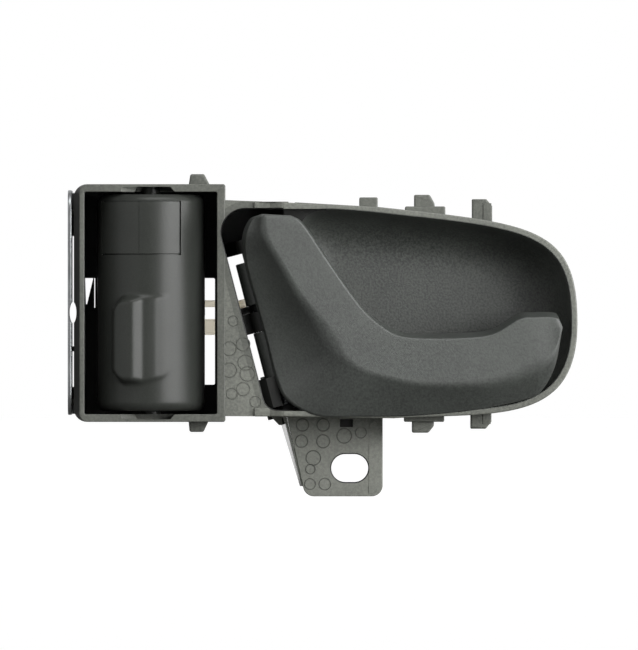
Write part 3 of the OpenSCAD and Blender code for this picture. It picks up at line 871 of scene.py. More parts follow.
@dataclass
class LockBox:
    """The box at the left that the lock knob turns in."""

    left: float = -75.9
    right: float = -34.3
    low: float = 12.8
    high: float = 78.2
    front: float = -24.15
    back: float = 4.0
    floor: float = 2.0
    mouth: tuple[float, float, float, float] = (-73.0, 14.9, -36.5, 76.1)
    corner: float = 3.6
    draft: float = 1.5
    draft_end: float = -22.2
    axis_x: float = -54.7
    axis_y: float = -13.0
    middle: float = 45.5
    eye: tuple[float, float, float, float] = (-76.25, 42.9, 1.05, 3.0)
    detent: tuple[float, float, float] = (-64.8, 0.0, 58.5)
    rivets: tuple = ((-66.5, 0.0, 19.0), (-66.5, 0.0, 70.0))
    bore: float = 2.55
    crush_ribs: tuple[float, ...] = (69.5, 32.2, 17.5)
    skim: float = 0.02
    inner_edge: float = 0.25
    outer_edge: float = 0.3

    def cup(self) -> Solid:
        """The open box, with its left wall drafted back from a narrow rim."""
        a, b, c, d = self.mouth
        skim, inside, outside = self.skim, self.inner_edge, self.outer_edge
        inner = rectangle((a + skim, b + skim), (c - skim, d - skim), 0.5, 8)
        outer = rounded(
            [
                (self.left, self.low, self.corner),
                (self.right, self.low, 0.5),
                (self.right, self.high, 0.5),
                (self.left, self.high, self.corner),
            ],
            8,
        )
        out_in, out = outward(inner), outward(outer)
        unit = out / np.linalg.norm(out, axis=1, keepdims=True)
        lean = (self.draft * np.maximum(0, -unit[:, 0]) ** 2)[:, None]
        rings = [level(inner, self.floor - skim), level(inner, self.front + inside)]
        for turn in np.linspace(0, math.pi / 2, 4)[1:]:
            ring = inner + out_in * inside * (1 - math.cos(turn))
            rings.append(level(ring, self.front + inside * (1 - math.sin(turn))))
        for turn in np.linspace(0, math.pi / 2, 5):
            ring = outer - out * (lean + outside * (1 - math.sin(turn)))
            rings.append(level(ring, self.front + outside * (1 - math.cos(turn))))
        rings.append(level(outer, self.draft_end))
        rings.append(level(outer, self.back - outside))
        rings.append(level(outer - out * outside, self.back))
        return loft(rings).placed(facing)

    def extras(self) -> list[Solid]:
        """Crush ribs on the left wall, the detent boss and the two snap hooks."""
        ribs = [block((-76.6, -18, z), (-75.4, 0, z + 1.4), 0.25) for z in self.crush_ribs]
        boss = rod(3.0, 3.0, 9.0).placed(facing).moved(*self.detent)
        top = rounded([(-44.5, 77, 0.2), (-38.0, 77, 0.2), (-40.1, 81, 0.5), (-43.9, 81, 0.6)], 4)
        low = rounded([(-44.5, 14, 0.2), (-44.1, 10, 0.6), (-40.3, 10, 0.6), (-38.4, 14, 0.2)], 4)
        hooks = [slab(o, -16, -9, 0.5, 0.5).placed(facing) for o in (top, low)]
        return ribs + [boss] + hooks

    def chamfer(self) -> tuple[tuple, tuple, tuple]:
        """The box that holds the left chamfer, which gets the painted shade, and the way it looks."""
        low = (self.left, self.front + 0.2, self.low)
        high = (self.left + self.draft + 0.1, self.draft_end, self.high)
        return low, high, (-1, 0, 0)

    def room(self) -> Solid:
        """The hollow that the knob turns in."""
        a, b, c, d = self.mouth
        return slab(rectangle((a, b), (c, d), 0.5), self.front - 2, self.floor).placed(facing)

    def peep(self, back: float) -> Solid:
        """The oval notch through the left wall and the plate on it, cut back to a depth."""
        return slab(circle(1, 28) * self.eye[2:] + self.eye[:2], HOUSING_CLEAR, back).placed(facing)

    def cuts(self) -> list[Solid]:
        """Rear openings, trunnion bores, lead-in notches and the holes of the screw and the rivets."""
        window = rectangle((-67, 23), (-37.2, 52.4), 0.4)
        wedge = rounded([(-73.0, 52.4, 0.1), (-72.8, 45.2, 0.1), (-72.5, 45.2, 0.1), (-70.8, 52.4, 0.1)])
        slit = rectangle((-70.5, 44.2), (-70.26, 52.4), 0.05)
        openings = [slab(outline, 0, 6).placed(facing) for outline in (window, wedge, slit)]
        bore = rod(self.bore, 11, 80, 0).moved(self.axis_x, self.axis_y, 0)
        notch = rounded([(-59.3, 75.9, 0.1), (-58.6, 77.5, 0.4), (-49.4, 77.5, 0.5), (-47.9, 75.9, 0.1)], 5)
        up = slab(notch, -26, -13).placed(facing)
        down = slab(notch * (1, -1) + (0, 2 * self.middle), -26, -17).placed(facing)
        ease = np.array([(-63.4, -24.6), (-63.0, -26), (-58.4, -26), (-58.4, -20)])
        lead_in = [slab(ease, 75.9, 77.3), slab(ease, 13.7, 15.1)]
        screw = rod(1.0, 1.0, 10, 0).placed(facing).moved(*self.detent)
        rivets = [rod(1.65, 0, 6, 0).placed(facing).moved(*spot) for spot in self.rivets]
        return openings + [bore, up, down, screw, self.peep(6)] + lead_in + rivets


@dataclass
class Dish:
    """Web, rim, bowl and hinge well."""

    web_y: float = -24.0
    rim_y: float = -27.0
    back_y: float = -21.0
    floor_y: float = -3.0
    rim_roll: float = 0.45
    wall: float = 2.0
    mouth_edge: float = 0.3
    rim_top: tuple = ((8, 71.9), (50.9, 67.3), (62.6, 66.7), (62.6, 40))
    rim_low: tuple = ((62.6, 40), (62.6, 11.4), (40, 15.5), (12, 13.8))
    mouth_corner: tuple = ((-12.5, 57), (-15, 66.5), (-14.5, 71.3), (-6, 71.3))
    mouth_top: tuple = ((8.5, 70.2), (49.7, 65.8), (60.9, 65.2), (60.9, 40.2))
    mouth_low: tuple = ((60.9, 40.2), (60.9, 13.3), (39.2, 17.1), (12.3, 15.5))
    mouth_corner_low: tuple = ((8, 15.5), (-1, 15.5), (-3.5, 20), (-5.5, 28))
    middle: tuple[float, float] = (15.0, 38.0)
    bowl_shrink: tuple[float, float] = (0.63, 0.47)
    bowl_square: float = 0.72
    shell_shrink: tuple[float, float] = (0.68, 0.53)
    shell_square: float = 0.86
    well_box: tuple[float, float, float, float] = (-5.7, 16.1, 12.5, 71.4)

    def bowl(
        self,
        outline: np.ndarray,
        shrink: tuple[float, float],
        front: float,
        floor: float,
        flare: float,
        square: float,
    ) -> Solid:
        """An elliptic bowl below an outline.

        Args:
            outline: Its mouth.
            shrink: Size of the floor against the mouth, along x and z.
            front: Depth of the mouth.
            floor: Depth of the floor.
            flare: Radius of the mouth's rounded edge, above which the shape runs on.
            square: Power of the ellipse, below 1 for a fuller corner.

        Returns:
            The solid that the bowl's skin bounds.
        """
        rings = flared(outline, flare, front, front - 3)[:-1] if flare else []
        middle = np.array(self.middle)
        first = math.asin(min(0.9, flare / (floor - front)) ** (1 / square)) if flare else 0.0
        for turn in np.linspace(first, math.pi / 2, 34):
            share = 1 - (1 - np.array(shrink)) * (1 - max(0.0, math.cos(turn)) ** square)
            points = middle + (outline - middle) * share
            rings.append(level(points, front + (floor - front) * math.sin(turn) ** square))
        return loft(rings).placed(facing)

    def well(self, grow: float) -> np.ndarray:
        """Outline of the hinge well, its sides along the hinge."""
        left, low, right, top = self.well_box
        left, low, right, top = left - grow, low - grow, right + grow, top + grow
        return rounded(
            [
                (HINGE.side_at(left, low), low, 4 + grow),
                (HINGE.side_at(right, low), low, 0.5),
                (HINGE.side_at(right, top), top, 0.5),
                (HINGE.side_at(left, top), top, 6.5 + grow),
            ],
            12,
        )

    def plates(self) -> list[Solid]:
        """Web, rim and the two ledges between them."""
        web = rounded([(-36, 14.4, 0.1), (-18.5, 14.3, 0.1), (-18.5, 73.2, 0.1), (-36, 73.9, 0.1)], 2)
        rim = np.vstack(
            [[(-18.5, 14.3), (-18.5, 73.2)], bezier(self.rim_top, 40), bezier(self.rim_low, 40), [(12, 13.8)]]
        )
        plan = rounded(
            [(-26.2, -24.8, 0.1), (-22, -25, 0.4), (-18.3, -27, 0.3), (-18.3, -21, 0.1), (-26.2, -21, 0.1)], 4
        )
        return [
            slab(web, self.web_y, self.back_y, 0, 0.2).placed(facing),
            slab(rim, self.rim_y, self.back_y, self.rim_roll, 0.2, 4).placed(facing),
            slab(plan, 70.8, 73.3, 0.3, 0.3),
            slab(plan, 14.3, 16.6, 0.3, 0.3),
        ]

    def shells(self) -> list[Solid]:
        """Outer skins of the bowl and of the well."""
        corner = [(-14.9, 57), (-17.4, 66.5), (-17.6, 71), (-15, 73.2)]
        corner_low = [(12, 13.8), (1, 13.9), (-5, 17.5), (-7.9, 28)]
        rim = np.vstack([corner, bezier(self.rim_top, 30), bezier(self.rim_low, 30), corner_low])
        floor = self.floor_y + self.wall
        well = slab(self.well(self.wall), self.web_y, floor, 0, 0.6).placed(facing)
        return [well, self.bowl(rim, self.shell_shrink, self.web_y, floor, 0, self.shell_square)]

    def hollows(self) -> list[Solid]:
        """What is cut for the well, the bowl, the lever's room and the hinge window."""
        mouth = np.vstack(
            [
                bezier(self.mouth_corner, 16),
                bezier([(-6, 71.3), (-1, 71.2), (4, 70.7), (8.5, 70.2)], 6),
                bezier(self.mouth_top, 48),
                bezier(self.mouth_low, 48),
                bezier([(12.3, 15.5), (11, 15.5), (9.5, 15.5), (8, 15.5)], 3),
                bezier(self.mouth_corner_low, 12),
                [self.mouth_corner_low[3]],
            ]
        )
        rings = flared(self.well(0), self.mouth_edge, self.web_y, HOUSING_CLEAR)
        rings.append(level(self.well(0), self.floor_y))
        room = HINGE.outline([(9, 29.3), (9, -26), (24, -29.5), (24, 25.4)])
        window = HINGE.outline([(-5.7, 19.3), (12.5, 19.3), (12.5, -16.2), (-7.7, -16.2), (-7.7, 10)])
        return [
            loft(rings).placed(facing),
            slab(room, HOUSING_CLEAR, -20).placed(facing),
            self.bowl(
                mouth, self.bowl_shrink, self.rim_y, self.floor_y, self.mouth_edge, self.bowl_square
            ),
            slab(window, -21, 0).placed(facing),
        ]

    def hooks(self) -> list[Solid]:
        """The snap hooks and their feet along the top and the bottom edge."""
        made = [
            block((2.6, -18, 64), (7.7, -11, 74.6), 0.4),
            block((15.2, -20, 62), (26.3, -7, 72.1), 0.4),
            block((14.9, -20, 12.8), (26, -7, 21), 0.4),
        ]
        for outline in (
            [(17.7, 70, 0.2), (23.6, 70, 0.2), (23.3, 73.0, 1.2), (22, 75.3, 0.8), (17.7, 75.3, 0.4)],
            [(33.6, 58, 0.2), (39.2, 58, 0.2), (39.2, 72.2, 0.5), (37.6, 74.1, 0.5), (33.6, 74.1, 0.3)],
            [(17.1, 14, 0.2), (17.1, 9.8, 0.4), (21.6, 9.8, 0.8), (23.1, 11.6, 1.0), (23.3, 14, 0.2)],
            [(33.2, 22, 0.2), (33.2, 10.9, 0.3), (37.4, 10.9, 0.5), (39, 12.8, 0.5), (39, 22, 0.2)],
        ):
            made.append(slab(rounded(outline, 4), -18, -10, 0.5, 0.5).placed(facing))
        lips = [
            block((36.7, -18.25, 58), (39.0, -17.5, 73.0), 0.15),
            block((36.6, -18.25, 12.2), (38.8, -17.5, 22), 0.15),
        ]
        return made + lips


@dataclass
class ScrewTab:
    """The tab with the screw slot, and the rib that braces it."""

    front: float = -2.6
    back: float = 0.0
    slot: tuple[float, float] = (10.2, 7.7)
    slot_edge: float = 0.3

    def outline(self) -> np.ndarray:
        """The tab's outline in (x, z)."""
        return np.vstack(
            [
                [(-17.3, 30), (-17.3, 13.9)],
                arc((-9.9, -4.8), 3, 193, 270, 8),
                arc((6.1, -4.8), 3, 270, 360, 8),
                [(9.1, 30)],
            ]
        )

    def solids(self) -> list[Solid]:
        """Tab, fillet and the fine raised steps."""
        tab = slab(self.outline(), self.front, self.back, 0.25, 0.25).placed(facing)
        foot = block((-19.8, -21, 14.2), (-17, -1, 16.2), 0.2)
        fillet = rounded(
            [
                (-23.2, 15.2, 0.1), (-21.6, 14.1, 1.5), (-19.5, 11.9, 0.1),
                (-18.6, 11.9, 0.1), (-18.6, 15.2, 0.1),
            ],
            4,
        )
        pad = rounded([(5.25, -7.3, 0.1), (8.7, -5.5, 2.0), (8.7, 8.6, 0.2), (5.25, 8.6, 0.2)], 5)
        step = slab(pad, -2.72, -1.5, 0.08).placed(facing)
        mark = [
            block((1.3, -2.85, 11.2), (1.6, -2, 13.4), 0.06),
            block((1.3, -2.85, 11.2), (4.2, -2, 11.5), 0.06),
        ]
        disc = rod(1.25, -2.85, -2, 0.12).placed(facing).moved(6.7, 0, 11.6)
        return [tab, foot, slab(fillet, -14, -2).placed(facing), step, disc] + mark

    def brace(self) -> Solid:
        """The drafted rib down the tab's left edge."""
        return loft(
            [
                np.array([(-19.8, -1, 15), (-18.45, -20, 15), (-18.1, -20, 15), (-17.6, -1, 15)]),
                np.array([(-13.75, -1, -5), (-13.25, -3.6, -5), (-13.05, -3.6, -5), (-12.9, -1, -5)]),
            ]
        )

    def cuts(self) -> list[Solid]:
        """The screw slot with a rounded edge, and the small recess above it."""
        width, height = self.slot
        half, reach, edge = height / 2, (width - height) / 2, self.slot_edge
        outline = np.vstack([arc((reach, 0), half, -90, 90, 20), arc((-reach, 0), half, 90, 270, 20)])
        out = outward(outline)
        rings = [level(outline + out * edge, -5), level(outline + out * edge, self.front)]
        rings += [level(outline, self.front + edge), level(outline, 2)]
        recess = block((-2.7, -5, 11.3), (0.9, -0.9, 13.5), 0.2)
        return [loft(rings).placed(facing), recess]


@dataclass
class HingeSeat:
    """The ears, spring guard and bumper seats in the well."""

    ears: tuple = ((19.3, 23.0), (-27.0, -23.9))
    eye: float = 2.6
    pin_bore: float = 1.52
    bearing: float = 2.79
    seat: float = 2.6
    seat_hole: float = 1.2

    def ear(self, low: float, high: float) -> Solid:
        """One pin ear about the hinge: a round eye on a square foot."""
        r = self.eye
        foot = [(r, 8), (6, 10), (6, 16), (-6, 16), (-6, 10), (-r, 8)]
        outline = np.vstack([arc((0, 0), r, -180, 0, 20), foot])
        return slab(outline, low, high, 0.2, 0.2)

    def solids(self) -> list[Solid]:
        """Everything that stands in the well."""
        guard = np.array([(-1.0, -4.6), (-1.0, -4.1), (-3.3, -3.5), (-6, -1.6), (-6, -2.6), (-3.7, -4.6)])
        foot = [(-2.4, 4), (-8.5, 4), (-8.5, 1), (-3.9, 1)]
        middle = np.vstack([arc((0, 0), 4, -90, 90, 20), foot, arc((0, 0), 4, 180, 262, 10)])
        standing = [self.ear(*span) for span in self.ears]
        standing += [
            slab(middle, -self.bearing, self.bearing, 0.05, 0.05),
            slab(guard, -23.95, -15.6),
            rod(1.2, -24.9, -21.6).moved(4.25, 7.5, 0),
        ]
        seats = [rod(self.seat, -20, -9).placed(facing).moved(*stop) for stop in HINGE.stops()]
        return HINGE.seat(standing) + seats

    def cuts(self) -> list[Solid]:
        """The pin bore and the bumper holes."""
        holes = [rod(self.seat_hole, -21, -15.8, 0).placed(facing).moved(*stop) for stop in HINGE.stops()]
        return HINGE.seat([rod(self.pin_bore, -29, 22, 0)]) + holes


@dataclass
class HousingMoulding:
    """The one-piece housing and the marks that its tool left on it."""

    marks: tuple = (
        (-33.1, 33.0, 1.9), (-29.3, 34.2, 1.8), (-33.1, 27.1, 2.0), (-28.6, 29.2, 2.1), (-28.1, 26.1, 2.0),
        (-29.3, 21.9, 1.8), (-32.4, 20.6, 1.5), (-25.9, 18.4, 1.5), (-32.0, 40.6, 1.4), (-13.0, 11.9, 1.7),
        (-7.3, 11.9, 1.7), (-13.3, 7.4, 1.7), (-7.3, 7.4, 1.8), (-1.5, 8.9, 2.0), (3.1, 9.8, 1.5),
        (-10.0, 2.8, 2.0), (-10.8, -0.3, 1.3), (-10.9, -4.4, 1.5), (-6.8, -4.4, 1.6),
    )
    mark_line: float = 0.16
    tab_top: float = 14.4

    def build(self, finishes: Finishes) -> None:
        """Builds the housing and its marks."""
        box, dish, tab, seat = LockBox(), Dish(), ScrewTab(), HingeSeat()
        made = Blank("housing_moulding", box.cup(), finishes.frame_plastic)
        made.join(Join.ADD, dish.shells())
        # web, rim and ledges take the paler copy of the eroded plastic: painted light
        made.join(Join.ADD, dish.plates(), finishes.rim_plastic_painted_light)
        # the tab takes the paler copy: painted light in place of the dish's shade
        made.join(Join.ADD, tab.solids(), finishes.tab_plastic_painted_light)
        made.join(Join.ADD, [tab.brace()], finishes.rib_plastic)
        made.join(Join.ADD, box.extras() + dish.hooks())
        # the faces of the box's hollow get the painted shade
        made.join(Join.CUT, [box.room()], finishes.shade_painted_plastic)
        made.join(Join.CUT, box.cuts())
        well, room, bowl, window = dish.hollows()
        # the faces of the well, the lever's room and the hinge window get the painted shade
        made.join(Join.CUT, [well, room, window], finishes.shade_painted_plastic)
        made.join(Join.CUT, [bowl], finishes.dish_plastic)
        # the hinge ears, guard and bumper seats are painted with shade
        made.join(Join.ADD, seat.solids(), finishes.shade_painted_plastic)
        # the pin bore, bumper holes, screw slot and recess get the painted shade inside
        made.join(Join.CUT, seat.cuts() + tab.cuts(), finishes.shade_painted_plastic)
        # the box's left chamfer gets the painted shade
        paint(made.done(), finishes.shade_painted_plastic, *box.chamfer())
        dress(made.object, Body.HOUSING, Slot.HOUSING, ["housing"])
        faces = [(x, dish.web_y if z > self.tab_top else tab.front, z) for x, z, _ in self.marks]
        rings = points_object("housing_tool_rings", faces)
        size = rings.data.attributes.new("ring_size", "FLOAT", "POINT")
        size.data.foreach_set("value", [r for _, _, r in self.marks])
        ring_tree().grow(rings, {"Line radius": self.mark_line, "Finish": finishes.frame_plastic})
        dress(rings, Body.HOUSING, Slot.HOUSING, [])


@dataclass
class MountingBracket:
    """The zinc-plated plate on the box's left wall, with its bent ears and rivets."""

    outer: float = -77.6
    inner: float = -76.5
    front: float = -22.0
    back: float = 5.1
    low: float = 14.7
    high: float = 76.6
    corner: float = 6.0
    ears: tuple = ((64.0, 76.0), (14.9, 22.4))
    ear_right: float = -61.5
    rivet_hole: float = 1.62

    def build(self, finishes: Finishes) -> None:
        """Builds the plate and sets its rivets."""
        front, back, low, high, right = self.front, self.back, self.low, self.high, self.ear_right
        outline = rounded(
            [(front, low, self.corner), (back, low, 0.4), (back, high, 0.4), (front, high, self.corner)], 10
        )
        plate = slab(outline, self.outer, self.inner, 0.3, 0.3).placed(edgewise)
        made = Blank("bracket_plate", plate, finishes.zinc)
        for a, b in self.ears:
            ear = rounded([(self.outer, a, 0.5), (right, a, 2.5), (right, b, 2.5), (self.outer, b, 0.5)])
            made.join(Join.ADD, [slab(ear, LockBox.back, back, 0.2, 0.3).placed(facing)])
        holes = [rod(self.rivet_hole, 2, 7, 0).placed(facing).moved(*spot) for spot in LockBox.rivets]
        made.join(Join.CUT, [LockBox().peep(10)] + holes)
        dress(made.done(), Body.HOUSING, Slot.ZINC, ["mounting_bracket"])
        rivet = turned(
            [
                (2.3, 1.05), (2.8, 1.25), (2.8, 2), (1.6, 2), (1.6, 5.1),
                (2.8, 5.1), (2.75, 5.4), (2.3, 5.75), (1.5, 5.95), (0.5, 6),
            ]
        )
        pair = set_fasteners("bracket_rivet_pair", rivet.placed(facing), LockBox.rivets, finishes.zinc)
        dress(pair, Body.HOUSING, Slot.ZINC, ["bracket_rivets"])


# Lever


@dataclass
class LeverGrip:
    """The hollow lever: a plateau, a falling flank and a hinge root behind it.

    Each row is one section: outer edge (x, z), grip edge (x, z), flank share, edge depth,
    plateau depth, paddle share, side wall width, how far the wall sets the flank in, and the
    radius that the flank turns into the plateau with.
    """

    rows: tuple = (
        (-23.9, 69.95, -16.4, 69.55, 0.12, -31.9, -32.7, 0.0, 0.5, 0.0, 0.4),
        (-24.7, 69.6, -15.7, 69.25, 0.12, -31.8, -33.7, 0.0, 0.7, 0.0, 0.8),
        (-26.6, 68.4, -13.8, 68.2, 0.20, -30.8, -34.0, 0.0, 1.2, 0.0, 2.0),
        (-28.4, 63.9, -11.2, 65.0, 0.27, -29.8, -34.0, 0.0, 1.3, 0.0, 3.0),
        (-28.8, 56.8, -6.5, 57.9, 0.40, -27.2, -34.0, 0.0, 0.9, 0.6, 3.0),
        (-26.2, 46.3, -1.0, 49.9, 0.46, -25.0, -34.0, 0.0, 0.9, 0.8, 3.5),
        (-23.2, 35.3, 3.6, 43.9, 0.53, -24.0, -34.0, 0.0, 0.9, 0.8, 6.0),
        (-20.4, 24.9, 6.9, 40.7, 0.56, -24.5, -34.0, 0.3, 0.9, 0.8, 8.0),
        (-16.9, 18.6, 8.9, 39.2, 0.58, -26.5, -34.0, 0.7, 0.9, 0.7, 6.0),
        (-8.7, 14.7, 11.1, 37.7, 0.56, -28.0, -34.0, 1.0, 0.7, 0.5, 4.5),
        (2.8, 14.4, 14.4, 36.4, 0.50, -28.0, -34.0, 1.0, 0.4, 0.3, 3.5),
        (16.6, 14.6, 20.7, 35.9, 0.41, -28.0, -34.0, 1.0, 0.3, 0.2, 3.0),
        (30.3, 15.7, 30.3, 36.0, 0.35, -28.0, -34.0, 1.0, 0.3, 0.2, 3.5),
        (40.2, 17.2, 39.1, 37.0, 0.32, -28.0, -34.0, 1.0, 0.3, 0.2, 5.0),
        (49.6, 19.5, 46.5, 41.2, 0.31, -28.0, -34.0, 1.0, 0.3, 0.2, 8.0),
        (53.0, 21.8, 50.9, 41.7, 0.28, -28.8, -34.0, 1.0, 0.3, 0.2, 9.0),
        (56.4, 28.2, 54.5, 41.8, 0.19, -31.4, -33.9, 1.0, 0.3, 0.2, 5.0),
        (58.1, 37.0, 56.9, 41.5, 0.08, -33.2, -33.8, 1.0, 0.3, 0.1, 0.8),
        (58.5, 38.9, 57.5, 41.2, 0.08, -32.6, -33.1, 1.0, 0.3, 0.1, 0.3),
    )
    wall: float = 2.4
    grip_round: float = 0.7
    grip_back: float = -25.5
    rim_clear: float = -27.35
    side_foot: float = -20.5
    scoop: float = 0.5
    grip_draft: tuple[float, float] = (0.3, 1.0)
    fall: float = 0.4
    end_wall: float = 0.6
    wall_share: float = 0.28
    round_share: float = 0.2
    grip_depth: float = 3.5
    knuckle: float = 4.0
    bush_bore: float = 2.5

    def section(self, row: np.ndarray, hollow: bool) -> np.ndarray:
        """One ring of the lever.

        Args:
            row: A row of sizes.
            hollow: Whether the ring runs back along the inner wall or closes straight.

        Returns:
            The ring's points.
        """
        start, end = row[0:2], row[2:4]
        length = float(np.linalg.norm(end - start))
        across = (end - start) / length
        share, edge, top, paddle, side, inset, crease = row[4:11]
        wall = min(self.wall, self.wall_share * length)
        round_off = min(self.grip_round, self.round_share * length)
        back = max(self.grip_back, top + self.grip_depth)
        sink = max(0.3, (1 - paddle) * self.side_foot + paddle * self.rim_clear - edge)
        first, rise, width = inset, edge - top, share * length - inset
        run = length - round_off - share * length
        scoop, drift = self.scoop * (1 - paddle**2), -math.atan2(self.fall, run)
        bend = math.atan2(rise * (1 + scoop), width) - drift
        radius = min(crease, 0.45 * min(run, math.hypot(rise, width)) / math.tan(bend / 2))
        f = np.linspace(0, 1, 201)
        slope = np.arctan2(rise * (1 - scoop + 2 * scoop * f), width)
        left = rise * (1 - (1 - scoop) * f - scoop * f**2)
        last = 60 + int(np.argmin(abs(left - radius * (math.cos(drift) - np.cos(slope)))[60:]))
        pick = np.linspace(0, last, 7).astype(int)[:-1]
        lean = np.concatenate([slope[pick], np.linspace(slope[last], drift, 11)])
        normal = np.column_stack([np.sin(lean), np.cos(lean)])
        begin = np.array([first + f[last] * width, top + left[last]])
        curve = begin + radius * (normal[6] - normal[6:])
        flank = np.vstack([np.column_stack([first + f[pick] * width, top + left[pick]]), curve])
        steps = ((1, 1), (0.75, 0.45), (0.3, 0.1))
        side_wall = [(first - out * side, edge + down * sink) for out, down in steps]
        flat = np.linspace(0, 1, 9)[1:-1, None]
        crest = top + self.fall
        plateau = flank[-1] + flat * (np.array([length - round_off, crest]) - flank[-1])
        turn = np.linspace(0, np.pi / 2, 6)
        corner = np.column_stack(
            [length - round_off + round_off * np.sin(turn), crest + round_off * (1 - np.cos(turn))]
        )
        foot = length + self.grip_draft[0] + self.grip_draft[1] * paddle
        outside = np.vstack([side_wall, flank, plateau, corner, [(foot, back)]])
        ring = outside
        if hollow:
            end_x = length - wall
            heel = [(first - side + 0.8 * wall, edge + sink)]
            across_x = np.minimum(plateau[:, 0] + 0.2 * wall, end_x - 0.1)
            inner_flat = np.column_stack([across_x, plateau[:, 1] + wall])
            lip = [(end_x, crest + wall), (end_x, back)]
            inside = np.vstack([heel, flank + wall * normal, inner_flat, lip])
            ring = np.vstack([outside, inside[::-1]])
        flat_points = start + ring[:, :1] * across
        return np.column_stack([flat_points[:, 0], ring[:, 1], flat_points[:, 1]])

    def shell(self, places: np.ndarray, hollow: bool) -> Solid:
        """The lever's skin between stations."""
        rows = spline(np.array(self.rows), places)
        return loft([self.section(row, hollow) for row in rows])

    def build(self, finishes: Finishes) -> None:
        """Builds the lever with its end walls, ribs and knuckles."""
        last = len(self.rows) - 1
        skin = self.shell(np.linspace(0, last, 8 * last + 1), True)
        made = Blank("lever_grip", skin, finishes.grip_plastic)
        spans = ((0, self.end_wall), (last - self.end_wall, last))
        ends = [self.shell(np.linspace(*span, 6), False) for span in spans]
        rib = np.array([(-32.4, 23.5), (-32.4, 34.8), (-26, 34.8), (-28.2, 18.5), (-29.4, 18.2)])
        ribs = [slab(rib, x, x + 1.4).placed(edgewise) for x in (20, 34)]
        made.join(Join.ADD, ends + ribs)
        gaps = ((16.9, 30), (-2.79, 2.79), (-40, -16.0))
        made.join(Join.CUT, HINGE.seat(rod(4.2, a, b, 0) for a, b in gaps))
        made.join(Join.ADD, self.root())
        bores = HINGE.seat(rod(self.bush_bore, a, b, 0) for a, b in ((4.7, 17), (-17, -2.6)))
        holes = HINGE.seat(rod(1.25, 4, 8, 0).moved(x, y, 0) for x, y in HINGE.crank_rivets)
        dress(made.join(Join.CUT, bores + holes).done(), Body.LEVER, Slot.LEVER, ["lever"], 38)

    def root(self) -> list[Solid]:
        """Knuckles, the ribs that carry them and the spring's lug."""
        knuckles = [rod(self.knuckle, a, b, 0.35) for a, b in HINGE.knuckles]
        near = [(-0.6, -3.0), (1.4, -4.6), (5, -8.2), (8.6, -12.6), (11, -14), (11, -7.5), (5, -1), (3, 2)]
        far = [(-0.6, -3.0), (1.4, -4.0), (5, -6.4), (11, -12), (18, -14.2), (18, -8), (10, -5), (3, 2)]
        ribs = [
            slab(np.array(web), low, high)
            for web, low, high in ((near, 4.8, 7.3), (far, 9, 11), (far, -11, -9))
        ]
        lug = block((-5.2, -0.5, -18.2), (-3.05, 7, -15), 0.25)
        return HINGE.seat(knuckles + ribs + [lug])


